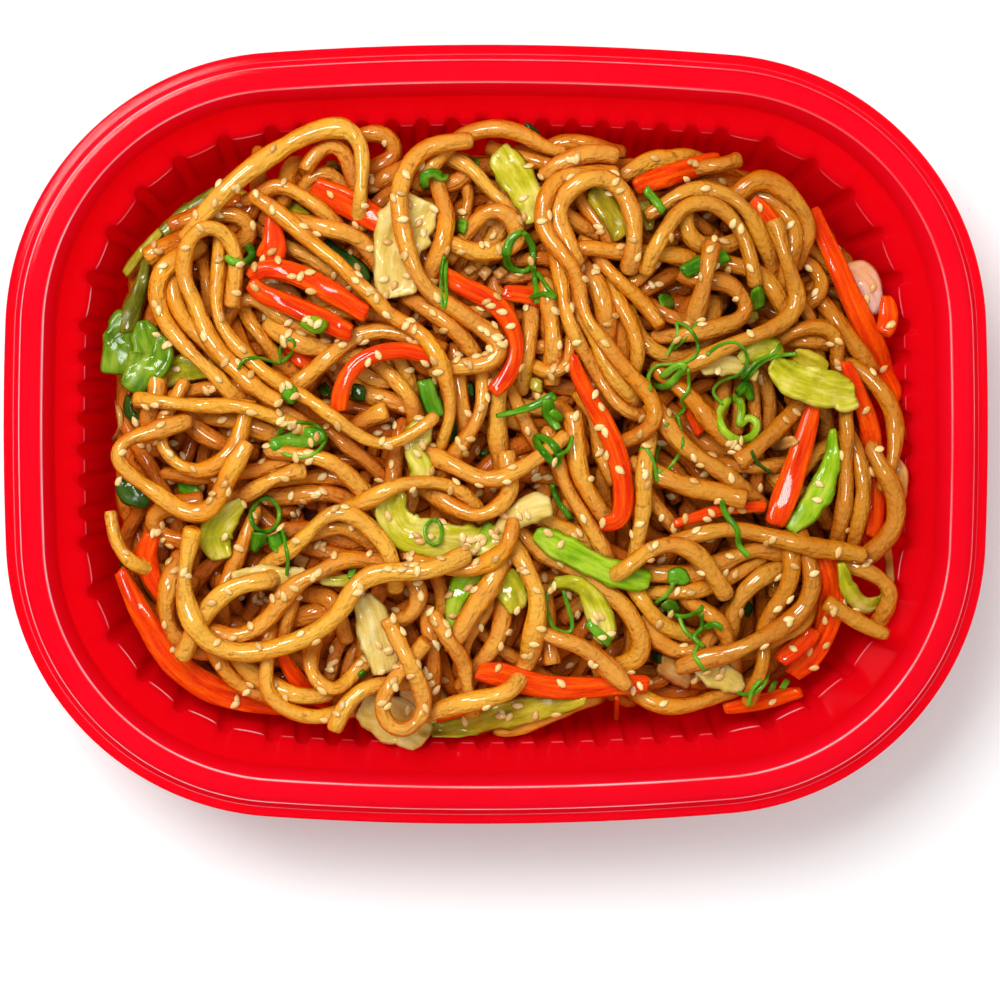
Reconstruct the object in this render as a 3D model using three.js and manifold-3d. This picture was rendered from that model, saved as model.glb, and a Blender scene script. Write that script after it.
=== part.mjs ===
// Lo mein in its tray: a shallow red formed-plastic tray with a fluted wall, a heap of noodles
// that fills it nearly to the rim, and the vegetable pieces that lie on the heap.
// Millimetres, +X along the tray's length, +Z up, origin at the middle of the tray's flat bottom.
import * as THREE from "three";
import { mergeVertices } from "three/addons/utils/BufferGeometryUtils.js";
import Module from "manifold-3d";

const wasm = await Module();
wasm.setup();

// ---- The tray's outline: four shallow side arcs joined by four corner arcs ----
const HALF_LENGTH = 127;
const HALF_WIDTH = 100.4;
const LONG_SIDE_RADIUS = 783;
const SHORT_SIDE_RADIUS = 793;
const CORNER_RADIUS = 72;

// ---- The tray's section: each inset is measured inwards from the outline ----
const TRAY_HEIGHT = 46;
const SHEET = 1;
const FLANGE_INSET = 2.4;
const FLANGE_HEIGHT = 42.6;
const BAND_OUTER_INSET = 4.1;
const BAND_INNER_INSET = 10;
const LEDGE_INSET = 12.6;
const LEDGE_HEIGHT = 35.6;
const SHOULDER_INSET = 20;
const SHOULDER_HEIGHT = 33.6;
const LOWER_WALL_INSET = 26;
const LOWER_WALL_HEIGHT = 12;
const FLOOR_INSET = 31;

// ---- The flutes: narrow hollows down the wall, wider apart round the corners ----
const FLUTE_DEPTH = 3.1;
const FLUTES_ON_LONG_SIDE = 15;
const FLUTES_ON_SHORT_SIDE = 7;
const FLUTES_ON_CORNER = 6;

// ---- The heap: a dome that falls away towards its edge ----
const GAP = 0.35;
const HEAP_LEVEL = 42;
const HEAP_SAG = 5;
const HEAP_SHOULDER = 10;
const HEAP_EDGE_INSET = 22.6;
const HEAP_EDGE_WAVE = 1.5;
const LUMP_HEIGHT = 1.6;
const HOLLOW_CORNER = { heading: 143, depth: 11, spread: 17 };
const HEAP_COLUMNS = 80;
const HEAP_STEPS = [1, 0.96, 0.91, 0.84, 0.76, 0.68, 0.59, 0.5, 0.41, 0.32, 0.21, 0.1];

const COLOURS = {
  tray: { color: 0xd9001b, roughness: 0.3 },
  noodle: { color: 0xc98f45, roughness: 0.35 },
  carrot: { color: 0xe8501a, roughness: 0.3 },
  cabbage: { color: 0xc3cc5a, roughness: 0.4 },
  greens: { color: 0x3f8a24, roughness: 0.4 },
  onion: { color: 0xe6cfa6, roughness: 0.35 },
};

// The strips and leaves. `at` is where a piece starts, `heading` its first direction in degrees
// from +X, and each run is [length, turn]. `width` and `thick` are its section, `tip` the share
// of the width left at its far end, `cup` how far its edges lift, and `twist` how far it leans.
const STRIPS = {
  carrot: [
    { at: [-46, 64], heading: -35, runs: [[19, -5]], width: 5.5, thick: 3 },
    { at: [-59, 56], heading: -89, runs: [[11, -25]], width: 7, thick: 3, tip: 0.8 },
    { at: [-65, 40], heading: -19, runs: [[16, -10], [17, 10]], width: 9, thick: 3.4, cup: 1 },
    { at: [-19, 21], heading: 149, runs: [[29, 105], [7, 60]], width: 4, thick: 3, twist: 12 },
    { at: [-14, 42], heading: -47, runs: [[20, 5], [23, -120]], width: 4.6, thick: 3 },
    { at: [19, 20], heading: -90, runs: [[8, 40], [34, -45], [10, -115]], width: 5, thick: 2.8 },
    { at: [35, 64], heading: 14, runs: [[14, 15], [13, 0]], width: 5.6, thick: 3, tip: 0.45 },
    { at: [86, 61], heading: -65, runs: [[14, -5], [29, 10], [14, -25]], width: 6, thick: 3 },
    { at: [106, 36], heading: -92, runs: [[11, -30]], width: 5, thick: 3 },
    { at: [92, 16], heading: -52, runs: [[30, -40], [10, -5]], width: 4.6, thick: 3 },
    { at: [82, 6], heading: -110, runs: [[30, 0]], width: 5, thick: 3 },
    { at: [46, -22], heading: 12, runs: [[24, -5]], width: 3, thick: 2.4 },
    { at: [85, -33], heading: -46, runs: [[33, -90], [3, 30]], width: 6.4, thick: 3 },
    { at: [83, -54], heading: -147, runs: [[11, 0]], width: 5, thick: 2.6 },
    { at: [63, -73], heading: -2, runs: [[20, 20]], width: 3.6, thick: 2.6, tip: 0.7 },
    { at: [-3, -60], heading: -31, runs: [[25, 35], [18, -5]], width: 5.4, thick: 2.8, tip: 0.6 },
    { at: [-103, -34], heading: -76, runs: [[36, 35], [26, 35]], width: 6.6, thick: 3 },
    { at: [-89, -27], heading: -110, runs: [[9, 0]], width: 5, thick: 2.8 },
    { at: [-56, -56], heading: -76, runs: [[19, 40]], width: 3.6, thick: 2.8 },
    { at: [-16, -70], heading: 20, runs: [[13, 0]], width: 3, thick: 2.2 },
    { at: [67, 61], heading: -41, runs: [[11, -20]], width: 7, thick: 3 },
  ],
  cabbage: [
    { at: [-22, 59], heading: -110, runs: [[25, 20]], width: 8, thick: 1.8, tip: 1.45, cup: 1.2 },
    { at: [1, 73], heading: -70, runs: [[18, 5]], width: 6.4, thick: 1.6, tip: 0.7, cup: 1.2 },
    { at: [26, 63], heading: -71, runs: [[12, 5]], width: 7, thick: 1.4, cup: 1 },
    { at: [54, 19], heading: -25, runs: [[14, 50]], width: 9, thick: 1.5, cup: 1.8 },
    { at: [69, 23], heading: -35, runs: [[26, 5]], width: 13, thick: 1.5, tip: 0.8, cup: 2.4 },
    { at: [88, 1], heading: -64, runs: [[11, -45], [22, -35]], width: 5, thick: 1.8, twist: 18 },
    { at: [-19, 4], heading: -135, runs: [[15, 80]], width: 7, thick: 1.6, cup: 1 },
    { at: [-28, -17], heading: -73, runs: [[25, 85], [9, 20]], width: 13, thick: 1.6, cup: 2.2 },
    { at: [1, -20], heading: 25, runs: [[13, -10]], width: 6, thick: 2.6, tip: 0.8, cup: 1.2 },
    { at: [9, -25], heading: -32, runs: [[24, 10], [10, 0]], width: 6.4, thick: 1.8, cup: 1.4 },
    { at: [16, -38], heading: -9, runs: [[10, -50], [10, 5]], width: 8, thick: 1.4, cup: 1.4 },
    { at: [-1, -40], heading: 0, runs: [[9, -35]], width: 8, thick: 1.4, cup: 1 },
    { at: [-4, -35], heading: -156, runs: [[9, 40], [10, 25]], width: 8, thick: 1.4, tip: 0.3 },
    { at: [-34, -41], heading: -74, runs: [[22, -10]], width: 9, thick: 1.6, tip: 0.9, cup: 1.4 },
    { at: [-37, -68], heading: -23, runs: [[19, -10]], width: 9, thick: 1.6, cup: 1.6 },
    { at: [-12, -77], heading: 14, runs: [[23, -10], [9, 25]], width: 7.4, thick: 1.8, tip: 0.6 },
    { at: [-66, -20], heading: -151, runs: [[16, 55]], width: 10, thick: 1.5, cup: 1.6 },
    { at: [-68, -36], heading: 12, runs: [[14, -25], [14, 35]], width: 7, thick: 1.5, cup: 1 },
    { at: [89, -31], heading: -62, runs: [[13, 15], [8, 25]], width: 6.6, thick: 1.5, cup: 1.2 },
    { at: [54, -64], heading: 27, runs: [[13, -85]], width: 7, thick: 1.5, cup: 1.4 },
  ],
  greens: [
    { at: [-100, 31], heading: -93, runs: [[16, -10]], width: 9, thick: 1.6, cup: 1.4 },
    { at: [-91, 29], heading: -85, runs: [[16, -30]], width: 9, thick: 1.6, cup: 1.8 },
    { at: [-94, 48], heading: -99, runs: [[16, -25]], width: 4.6, thick: 2.4 },
    { at: [-87, 58], heading: 30, runs: [[15, 0]], width: 5, thick: 1.6, cup: 1 },
    { at: [-97, -11], heading: -55, runs: [[9, 50]], width: 6, thick: 1.4, cup: 1 },
    { at: [47, 42], heading: 21, runs: [[14, -5]], width: 3.4, thick: 3 },
    { at: [-1, 5], heading: 15, runs: [[17, 5]], width: 3.2, thick: 2.4, tip: 0.6 },
  ],
  onion: [
    { at: [97, 47], heading: -65, runs: [[14, -10]], width: 8.4, thick: 1.6, cup: 2 },
    { at: [102, -6], heading: -92, runs: [[11, -10]], width: 4, thick: 1.4, cup: 0.8 },
  ],
};

// The scallion rings: centre, radius, half the thickness of the wall, and stretch along X.
const SCALLION_RINGS = [
  { at: [5, 47], radius: 3.6, wall: 1, stretch: 1.1 },
  { at: [61.5, 6], radius: 4.6, wall: 1.1, stretch: 1.1 },
  { at: [-60, -28], radius: 4, wall: 1, stretch: 1.3 },
  { at: [-17, -24.6], radius: 3, wall: 0.9, stretch: 0.8 },
  { at: [-16, 65], radius: 2.8, wall: 1, stretch: 1.3 },
];

const radians = THREE.MathUtils.degToRad;

// ---- Outline arithmetic ----

// The centre of a corner arc that meets both side arcs smoothly, in the +X +Y quarter.
function cornerCentre() {
  let x = HALF_LENGTH - CORNER_RADIUS;
  let y = HALF_WIDTH - CORNER_RADIUS;
  for (let step = 0; step < 30; step += 1) {
    x = HALF_LENGTH - SHORT_SIDE_RADIUS + Math.sqrt((SHORT_SIDE_RADIUS - CORNER_RADIUS) ** 2 - y * y);
    y = HALF_WIDTH - LONG_SIDE_RADIUS + Math.sqrt((LONG_SIDE_RADIUS - CORNER_RADIUS) ** 2 - x * x);
  }
  return new THREE.Vector2(x, y);
}

const CORNER = cornerCentre();
const SHORT_SIDE_CENTRE = HALF_LENGTH - SHORT_SIDE_RADIUS;
const LONG_SIDE_CENTRE = HALF_WIDTH - LONG_SIDE_RADIUS;
const SHORT_SIDE_ANGLE = Math.atan2(CORNER.y, CORNER.x - SHORT_SIDE_CENTRE);
const LONG_SIDE_ANGLE = Math.atan2(CORNER.x, CORNER.y - LONG_SIDE_CENTRE);

// How far a point lies inside the outline.
function insetOf(x, y) {
  const px = Math.abs(x);
  const py = Math.abs(y);
  const fromShort = SHORT_SIDE_RADIUS - Math.hypot(px - SHORT_SIDE_CENTRE, py);
  const fromLong = LONG_SIDE_RADIUS - Math.hypot(px, py - LONG_SIDE_CENTRE);
  const angle = Math.atan2(py - CORNER.y, px - CORNER.x);
  if (angle > SHORT_SIDE_ANGLE && angle < Math.PI / 2 - LONG_SIDE_ANGLE) {
    return CORNER_RADIUS - Math.hypot(px - CORNER.x, py - CORNER.y);
  }
  return Math.min(fromShort, fromLong);
}

// The distance from the middle, along an angle, at which the inset has come down to a value.
function reachAt(angle, inset) {
  let near = 0;
  let far = HALF_LENGTH * 1.2;
  for (let step = 0; step < 24; step += 1) {
    const middle = (near + far) / 2;
    if (insetOf(middle * Math.cos(angle), middle * Math.sin(angle)) > inset) {
      near = middle;
    } else {
      far = middle;
    }
  }
  return near;
}

// Stations round the outline, anticlockwise from the +X side: place, outward direction, and
// whether a flute runs down from it. A flute and the land beside it take one station each.
function outlineStations() {
  const quarter = Math.PI / 2;
  const short = { x: SHORT_SIDE_CENTRE, y: 0, radius: SHORT_SIDE_RADIUS };
  const long = { x: 0, y: LONG_SIDE_CENTRE, radius: LONG_SIDE_RADIUS };
  const corner = { x: CORNER.x, y: CORNER.y, radius: CORNER_RADIUS };
  const turned = (arc, flipX, flipY) => ({ x: arc.x * flipX, y: arc.y * flipY, radius: arc.radius });
  const arcs = [];
  for (const side of [0, 1]) {
    const flip = side ? -1 : 1;
    const turn = side * Math.PI;
    const first = turn + SHORT_SIDE_ANGLE;
    const second = turn + quarter - LONG_SIDE_ANGLE;
    const third = turn + quarter + LONG_SIDE_ANGLE;
    const last = turn + Math.PI - SHORT_SIDE_ANGLE;
    arcs.push([turned(short, flip, flip), turn - SHORT_SIDE_ANGLE, first, FLUTES_ON_SHORT_SIDE]);
    arcs.push([turned(corner, flip, flip), first, second, FLUTES_ON_CORNER]);
    arcs.push([turned(long, flip, flip), second, third, FLUTES_ON_LONG_SIDE]);
    arcs.push([turned(corner, -flip, flip), third, last, FLUTES_ON_CORNER]);
  }
  const stations = [];
  for (const [arc, from, to, flutes] of arcs) {
    for (let half = 0; half < flutes * 2; half += 1) {
      const angle = from + ((to - from) * half) / (flutes * 2);
      const outward = new THREE.Vector2(Math.cos(angle), Math.sin(angle));
      const place = new THREE.Vector2(arc.x, arc.y).addScaledVector(outward, arc.radius);
      stations.push({ place, outward, fluted: half % 2 === 0 });
    }
  }
  return stations;
}

// ---- Solids ----

// A geometry's shared vertices merged, with only their positions kept.
function welded(geometry) {
  geometry.deleteAttribute("normal");
  geometry.deleteAttribute("uv");
  return mergeVertices(geometry, 1e-3);
}

function toSolid(geometry) {
  const vertProperties = geometry.attributes.position.array;
  const triVerts = new Uint32Array(geometry.index.array);
  return new wasm.Manifold(new wasm.Mesh({ numProp: 3, vertProperties, triVerts }));
}

// Moves each vertex to the place that a function of its old place gives.
function reshaped(geometry, place) {
  const positions = geometry.attributes.position;
  for (let i = 0; i < positions.count; i += 1) {
    const [x, y, z] = place(positions.getX(i), positions.getY(i), positions.getZ(i), i);
    positions.setXYZ(i, x, y, z);
  }
  return welded(geometry);
}

// ---- The tray ----

// The inner face of the wall from the floor to the flange's edge: inset, height, flute depth.
const INNER_FACE = [
  [FLOOR_INSET, SHEET, 0],
  [LOWER_WALL_INSET, LOWER_WALL_HEIGHT, 0],
  [SHOULDER_INSET, SHOULDER_HEIGHT, FLUTE_DEPTH],
  [LEDGE_INSET, LEDGE_HEIGHT, 0],
  [BAND_INNER_INSET, TRAY_HEIGHT, 0],
  [BAND_OUTER_INSET, TRAY_HEIGHT, 0],
  [FLANGE_INSET, FLANGE_HEIGHT, 0],
  [0, FLANGE_HEIGHT, 0],
];

// The same face moved outwards by the sheet's thickness, mitred at each bend.
function underFace() {
  return INNER_FACE.map(([inset, height, flute], i) => {
    const before = INNER_FACE[i - 1] ?? [inset + 1, height];
    const after = INNER_FACE[i + 1] ?? [inset - 1, height];
    const into = new THREE.Vector2(before[0] - inset, height - before[1]).normalize();
    const out = new THREE.Vector2(inset - after[0], after[1] - height).normalize();
    const normal = new THREE.Vector2(into.y + out.y, -into.x - out.x);
    const share = SHEET / (1 + into.dot(out));
    return [inset - normal.x * share, height + normal.y * share, flute];
  });
}

function trayGeometry() {
  const faces = [...INNER_FACE, ...underFace().reverse()];
  const section = [[HALF_LENGTH, SHEET, 0], ...faces, [HALF_LENGTH, 0, 0]].reverse();
  const points = section.map(([inset, height]) => new THREE.Vector2(HALF_LENGTH - inset, height));
  const stations = outlineStations();
  const lathe = new THREE.LatheGeometry(points, stations.length);
  return reshaped(lathe, (x, y, z, index) => {
    const [inset, height, flute] = section[index % section.length];
    const station = stations[Math.floor(index / section.length) % stations.length];
    if (inset === HALF_LENGTH) {
      return [0, 0, height];
    }
    const depth = inset - (station.fluted ? flute : 0);
    const place = station.place.clone().addScaledVector(station.outward, -depth);
    return [place.x, place.y, height];
  });
}

// The inset of the wall's inner face, between flutes, at a height.
function wallInset(height) {
  for (let i = 1; i < INNER_FACE.length; i += 1) {
    const [inset, top] = INNER_FACE[i];
    const [lowerInset, bottom] = INNER_FACE[i - 1];
    if (height <= top) {
      return lowerInset + ((inset - lowerInset) * (height - bottom)) / (top - bottom);
    }
  }
  return 0;
}

// Draws a point towards the middle until it stands clear of the tray's wall.
function insideWall(x, y, z) {
  const angle = Math.atan2(y, x);
  const reach = reachAt(angle, wallInset(z) + GAP);
  const share = Math.min(1, reach / Math.max(Math.hypot(x, y), GAP));
  return [x * share, y * share, z];
}

// ---- The heap ----

// How far the heap reaches from the middle, with an uneven edge and one emptier corner.
function heapReach(angle) {
  const wave = HEAP_EDGE_WAVE * (1 + Math.sin(7 * angle + 1) * Math.cos(4 * angle));
  let off = Math.abs(THREE.MathUtils.radToDeg(angle) - HOLLOW_CORNER.heading);
  off = Math.min(off, 360 - off);
  const hollow = HOLLOW_CORNER.depth * Math.exp(-((off / HOLLOW_CORNER.spread) ** 2));
  return reachAt(angle, HEAP_EDGE_INSET + wave + hollow);
}

// The level of the heap without its lumps.
function domeLevel(x, y) {
  const share = Math.min(1.04, Math.hypot(x, y) / heapReach(Math.atan2(y, x)));
  return HEAP_LEVEL - HEAP_SAG * share ** 2 - HEAP_SHOULDER * share ** 10;
}

function heapLevel(x, y) {
  const lumps = Math.sin(x / 5.3 + 1.4 * Math.sin(y / 13)) * Math.sin(y / 6.1 + Math.cos(x / 17));
  return domeLevel(x, y) + LUMP_HEIGHT * lumps;
}

function heapGeometry() {
  const underside = [SHEET + GAP, LOWER_WALL_HEIGHT];
  const rows = [0, ...underside.map(() => 1), ...HEAP_STEPS, 0];
  const points = rows.map((share, row) => new THREE.Vector2(share, row));
  const lathe = new THREE.LatheGeometry(points, HEAP_COLUMNS);
  return reshaped(lathe, (x, y, z, index) => {
    const row = index % rows.length;
    const column = Math.floor(index / rows.length) % HEAP_COLUMNS;
    const turn = (column / HEAP_COLUMNS) * 2 * Math.PI;
    const angle = Math.atan2(Math.sin(turn), Math.cos(turn));
    const reach = heapReach(angle) * rows[row];
    const px = reach * Math.cos(angle);
    const py = reach * Math.sin(angle);
    if (row > underside.length) {
      return [px, py, heapLevel(px, py)];
    }
    return insideWall(px, py, underside[Math.max(0, row - 1)]);
  });
}

// ---- The pieces that lie on the heap ----

// The place and direction at a share of the way along a piece's runs.
function along({ at, heading, runs }, share) {
  const steps = 24;
  const total = runs.reduce((sum, [length]) => sum + length, 0);
  let angle = radians(heading);
  let [x, y] = at;
  let left = total * share;
  for (const [length, turn] of runs) {
    const travel = Math.min(left, length);
    for (let step = 0; step < steps; step += 1) {
      const bend = (radians(turn) * travel) / length / steps;
      angle += bend / 2;
      x += (travel / steps) * Math.cos(angle);
      y += (travel / steps) * Math.sin(angle);
      angle += bend / 2;
    }
    left -= travel;
  }
  return { x, y, angle };
}

function stripGeometry(strip) {
  const { width, thick, tip = 0.9, cup = 0, twist = 0, runs } = strip;
  const length = runs.reduce((sum, [run]) => sum + run, 0);
  const turned = runs.reduce((sum, [, turn]) => sum + Math.abs(turn), 0);
  const steps = Math.max(2, Math.round(length / 12 + turned / 25));
  const box = new THREE.BoxGeometry(1, 1, 1, steps, cup ? 2 : 1, 1);
  return reshaped(box, (s, side, up) => {
    const centre = along(strip, s + 0.5);
    const across = side * width * (1 + (tip - 1) * (s + 0.5));
    const px = centre.x - Math.sin(centre.angle) * across;
    const py = centre.y + Math.cos(centre.angle) * across;
    const lift = cup * (4 * side * side) + Math.tan(radians(twist)) * across;
    return insideWall(px, py, domeLevel(centre.x, centre.y) + lift + thick * (up + 0.5));
  });
}

function ringGeometry({ at, radius, wall, stretch }) {
  const torus = new THREE.TorusGeometry(radius, wall, 5, 10);
  const level = domeLevel(...at);
  return reshaped(torus, (x, y, z) => [at[0] + x * stretch, at[1] + y / stretch, level + z]);
}

// Lifts a piece until it stands clear of everything already placed, and places it.
function settled(geometry, placed) {
  const lift = 0.3;
  const touches = () => {
    const solid = toSolid(geometry);
    return placed.some((other) => solid.intersect(other).volume() > 1e-6);
  };
  while (touches()) {
    geometry.translate(0, 0, lift);
  }
  geometry.translate(0, 0, GAP);
  placed.push(toSolid(geometry));
  return geometry;
}

function mesh(name, kind, geometry) {
  const made = new THREE.Mesh(geometry, new THREE.MeshStandardMaterial(COLOURS[kind]));
  made.name = name;
  return made;
}

function bowl() {
  const group = new THREE.Group();
  const heap = heapGeometry();
  const placed = [toSolid(heap)];
  group.add(mesh("tray", "tray", trayGeometry()));
  group.add(mesh("noodle_heap", "noodle", heap));
  for (const [kind, strips] of Object.entries(STRIPS)) {
    strips.forEach((strip, i) => {
      const name = `${kind}_${String(i + 1).padStart(2, "0")}`;
      group.add(mesh(name, kind, settled(stripGeometry(strip), placed)));
    });
  }
  SCALLION_RINGS.forEach((ring, i) => {
    const name = `scallion_ring_${i + 1}`;
    group.add(mesh(name, "greens", settled(ringGeometry(ring), placed)));
  });
  return group;
}

export default bowl();
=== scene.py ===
"""Lo mein in a red fluted tray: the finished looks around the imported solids.

Sizes are in millimetres in the makers below and become metres as a mesh is made. The tray, the
noodles, the seeds and the shreds are modelled here. The larger vegetable pieces follow routes of
their own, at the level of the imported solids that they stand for.
"""

import logging
import math
from collections.abc import Callable
from dataclasses import dataclass, field
from enum import Enum

import bmesh
import bpy
import numpy as np
from mathutils import Matrix, Vector
from mathutils.bvhtree import BVHTree


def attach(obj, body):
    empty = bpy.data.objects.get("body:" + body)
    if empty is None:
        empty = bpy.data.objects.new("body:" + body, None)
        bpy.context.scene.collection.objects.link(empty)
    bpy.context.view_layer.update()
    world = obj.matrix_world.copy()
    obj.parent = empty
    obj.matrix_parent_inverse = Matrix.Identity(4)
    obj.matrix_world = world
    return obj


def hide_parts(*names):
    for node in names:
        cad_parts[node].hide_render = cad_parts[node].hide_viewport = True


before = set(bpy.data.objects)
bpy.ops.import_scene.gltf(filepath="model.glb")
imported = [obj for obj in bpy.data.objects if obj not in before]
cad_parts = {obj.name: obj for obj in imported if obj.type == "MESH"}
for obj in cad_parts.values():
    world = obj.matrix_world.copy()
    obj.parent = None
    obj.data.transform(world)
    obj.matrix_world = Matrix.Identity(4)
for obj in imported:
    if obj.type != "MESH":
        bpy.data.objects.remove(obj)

LOG = logging.getLogger("noodle_tray")
MM = 0.001
TINY = 1e-6
DROP_FROM = 0.2
DOWN = Vector((0, 0, -1))
Socket = bpy.types.NodeSocket
Colour = tuple[float, float, float]
Solid = tuple[np.ndarray, list, np.ndarray]
Level = Callable[[np.ndarray, np.ndarray], np.ndarray]


# ---------------------------------------------------------------- helpers on meshes


def deselect() -> None:
    """Leaves nothing selected, because an operator acts on all that is."""
    for thing in bpy.context.selected_objects:
        thing.select_set(False)


def only(piece: bpy.types.Object) -> None:
    """Makes a piece the one selected and active object."""
    deselect()
    piece.select_set(True)
    bpy.context.view_layer.objects.active = piece


def mesh_piece(name: str, points: np.ndarray, faces: list) -> bpy.types.Object:
    """Makes an object at the origin from points in millimetres.

    Args:
        name: The piece's name.
        points: Its vertices, one row each.
        faces: Its faces, as rows of vertex numbers.

    Returns:
        The new, smooth-shaded object.
    """
    data = bpy.data.meshes.new(name)
    data.from_pydata((points * MM).tolist(), [], faces)
    data.validate()
    data.polygons.foreach_set("use_smooth", [True] * len(data.polygons))
    made = bpy.data.objects.new(name, data)
    bpy.context.scene.collection.objects.link(made)
    return made


def apply(piece: bpy.types.Object, kind: str, **settings: object) -> None:
    """Adds a modifier to a piece and applies it.

    Args:
        piece: The piece.
        kind: The modifier's type.
        settings: The modifier's values.
    """
    only(piece)
    modifier = piece.modifiers.new(kind.lower(), kind)
    for key, value in settings.items():
        setattr(modifier, key, value)
    bpy.ops.object.modifier_apply(modifier=modifier.name)


def face_out(piece: bpy.types.Object, merge: bool = False) -> None:
    """Turns a closed piece's faces outwards, once its doubles are merged where asked."""
    only(piece)
    bpy.ops.object.mode_set(mode="EDIT")
    bpy.ops.mesh.select_all(action="SELECT")
    if merge:
        bpy.ops.mesh.remove_doubles(threshold=TINY)
    bpy.ops.mesh.normals_make_consistent(inside=False)
    bpy.ops.object.mode_set(mode="OBJECT")


def points_of(piece: bpy.types.Object) -> np.ndarray:
    """A piece's vertices in millimetres."""
    flat = np.empty(len(piece.data.vertices) * 3)
    piece.data.vertices.foreach_get("co", flat)
    return flat.reshape(-1, 3) / MM


def tree_of(piece: bpy.types.Object) -> BVHTree:
    """A search tree over a piece's faces."""
    return BVHTree.FromObject(piece, bpy.context.evaluated_depsgraph_get())


def paint(piece: bpy.types.Object, name: str, values: np.ndarray) -> None:
    """Writes a number, or a row of three, for each vertex, as an attribute that a finish reads."""
    kind, key = ("FLOAT", "value") if values.ndim == 1 else ("FLOAT_VECTOR", "vector")
    layer = piece.data.attributes.new(name, kind, "POINT")
    layer.data.foreach_set(key, np.asarray(values, dtype=np.float32).ravel())


def dress(piece: bpy.types.Object, finish: "Finish", slot: str, *nodes: str) -> None:
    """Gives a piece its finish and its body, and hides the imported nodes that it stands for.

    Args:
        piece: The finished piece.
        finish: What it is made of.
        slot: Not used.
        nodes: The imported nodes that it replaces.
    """
    piece.data.materials.clear()
    piece.data.materials.append(finish.material())
    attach(piece, "root")
    if nodes:
        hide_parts(*nodes)
    piece.data.calc_loop_triangles()
    LOG.info("%s: %d triangles", piece.name, len(piece.data.loop_triangles))


# ---------------------------------------------------------------- helpers on lines


def unit(rows: np.ndarray) -> np.ndarray:
    """Rows drawn to a length of one."""
    return rows / np.maximum(np.linalg.norm(rows, axis=1), TINY)[:, None]


def left_of(along: np.ndarray) -> np.ndarray:
    """The direction in plan to the left of each direction."""
    return np.column_stack([-along[:, 1], along[:, 0]])


def axes_of(line: np.ndarray) -> tuple[np.ndarray, np.ndarray, np.ndarray]:
    """The directions along, beside and over a line at each of its points."""
    along = unit(np.gradient(line, axis=0))
    side = unit(np.cross(along, [0.0, 0.0, 1.0]))
    return along, side, np.cross(side, along)


def smooth(line: np.ndarray, times: int) -> np.ndarray:
    """A line whose inner points have been drawn towards their neighbours."""
    for _ in range(times):
        line[1:-1] = line[1:-1] * 0.5 + (line[:-2] + line[2:]) * 0.25
    return line


def curve(line: np.ndarray, spacing: float) -> np.ndarray:
    """A smooth curve through a line's points, with points of its own spaced evenly."""
    size = np.r_[0, np.cumsum(np.linalg.norm(np.diff(line, axis=0), axis=1))]
    at = np.linspace(0, size[-1], max(6, int(size[-1] / spacing)))
    i = np.clip(np.searchsorted(size, at, "right") - 1, 0, len(line) - 2)
    t = ((at - size[i]) / np.maximum(size[i + 1] - size[i], TINY))[:, None]
    p0, p1 = line[np.maximum(i - 1, 0)], line[i]
    p2, p3 = line[i + 1], line[np.minimum(i + 2, len(line) - 1)]
    bend = 2 * p0 - 5 * p1 + 4 * p2 - p3
    return 0.5 * (2 * p1 + (p2 - p0) * t + bend * t**2 + (3 * p1 - p0 - 3 * p2 + p3) * t**3)


def slow_noise(count: int, period: int, rng: np.random.Generator) -> np.ndarray:
    """Smooth noise about zero along a line."""
    knots = rng.normal(0, 1, count // period + 3)
    at = np.linspace(0, len(knots) - 1.001, count)
    i = at.astype(int)
    t = at - i
    t = t * t * (3 - 2 * t)
    return knots[i] * (1 - t) + knots[i + 1] * t


def squarish(turn: np.ndarray, power: float) -> np.ndarray:
    """How far a rounded square's edge stands from its middle at each angle."""
    return (np.abs(np.cos(turn)) ** power + np.abs(np.sin(turn)) ** power) ** (-1 / power)


def tube_faces(count: int, sides: int, first: int = 0) -> list:
    """A closed tube's faces: its walls, and a cap at each end.

    Args:
        count: How many rings it has.
        sides: How many points a ring has.
        first: The number of its first point.

    Returns:
        The faces, as rows of point numbers.
    """
    grid = np.arange(count * sides).reshape(count, sides) + first
    a, b = grid[:-1], grid[1:]
    quads = np.stack([a, np.roll(a, -1, 1), np.roll(b, -1, 1), b], axis=2)
    return quads.reshape(-1, 4).tolist() + [grid[0].tolist()[::-1], grid[-1].tolist()]


# ---------------------------------------------------------------- finishes


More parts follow.
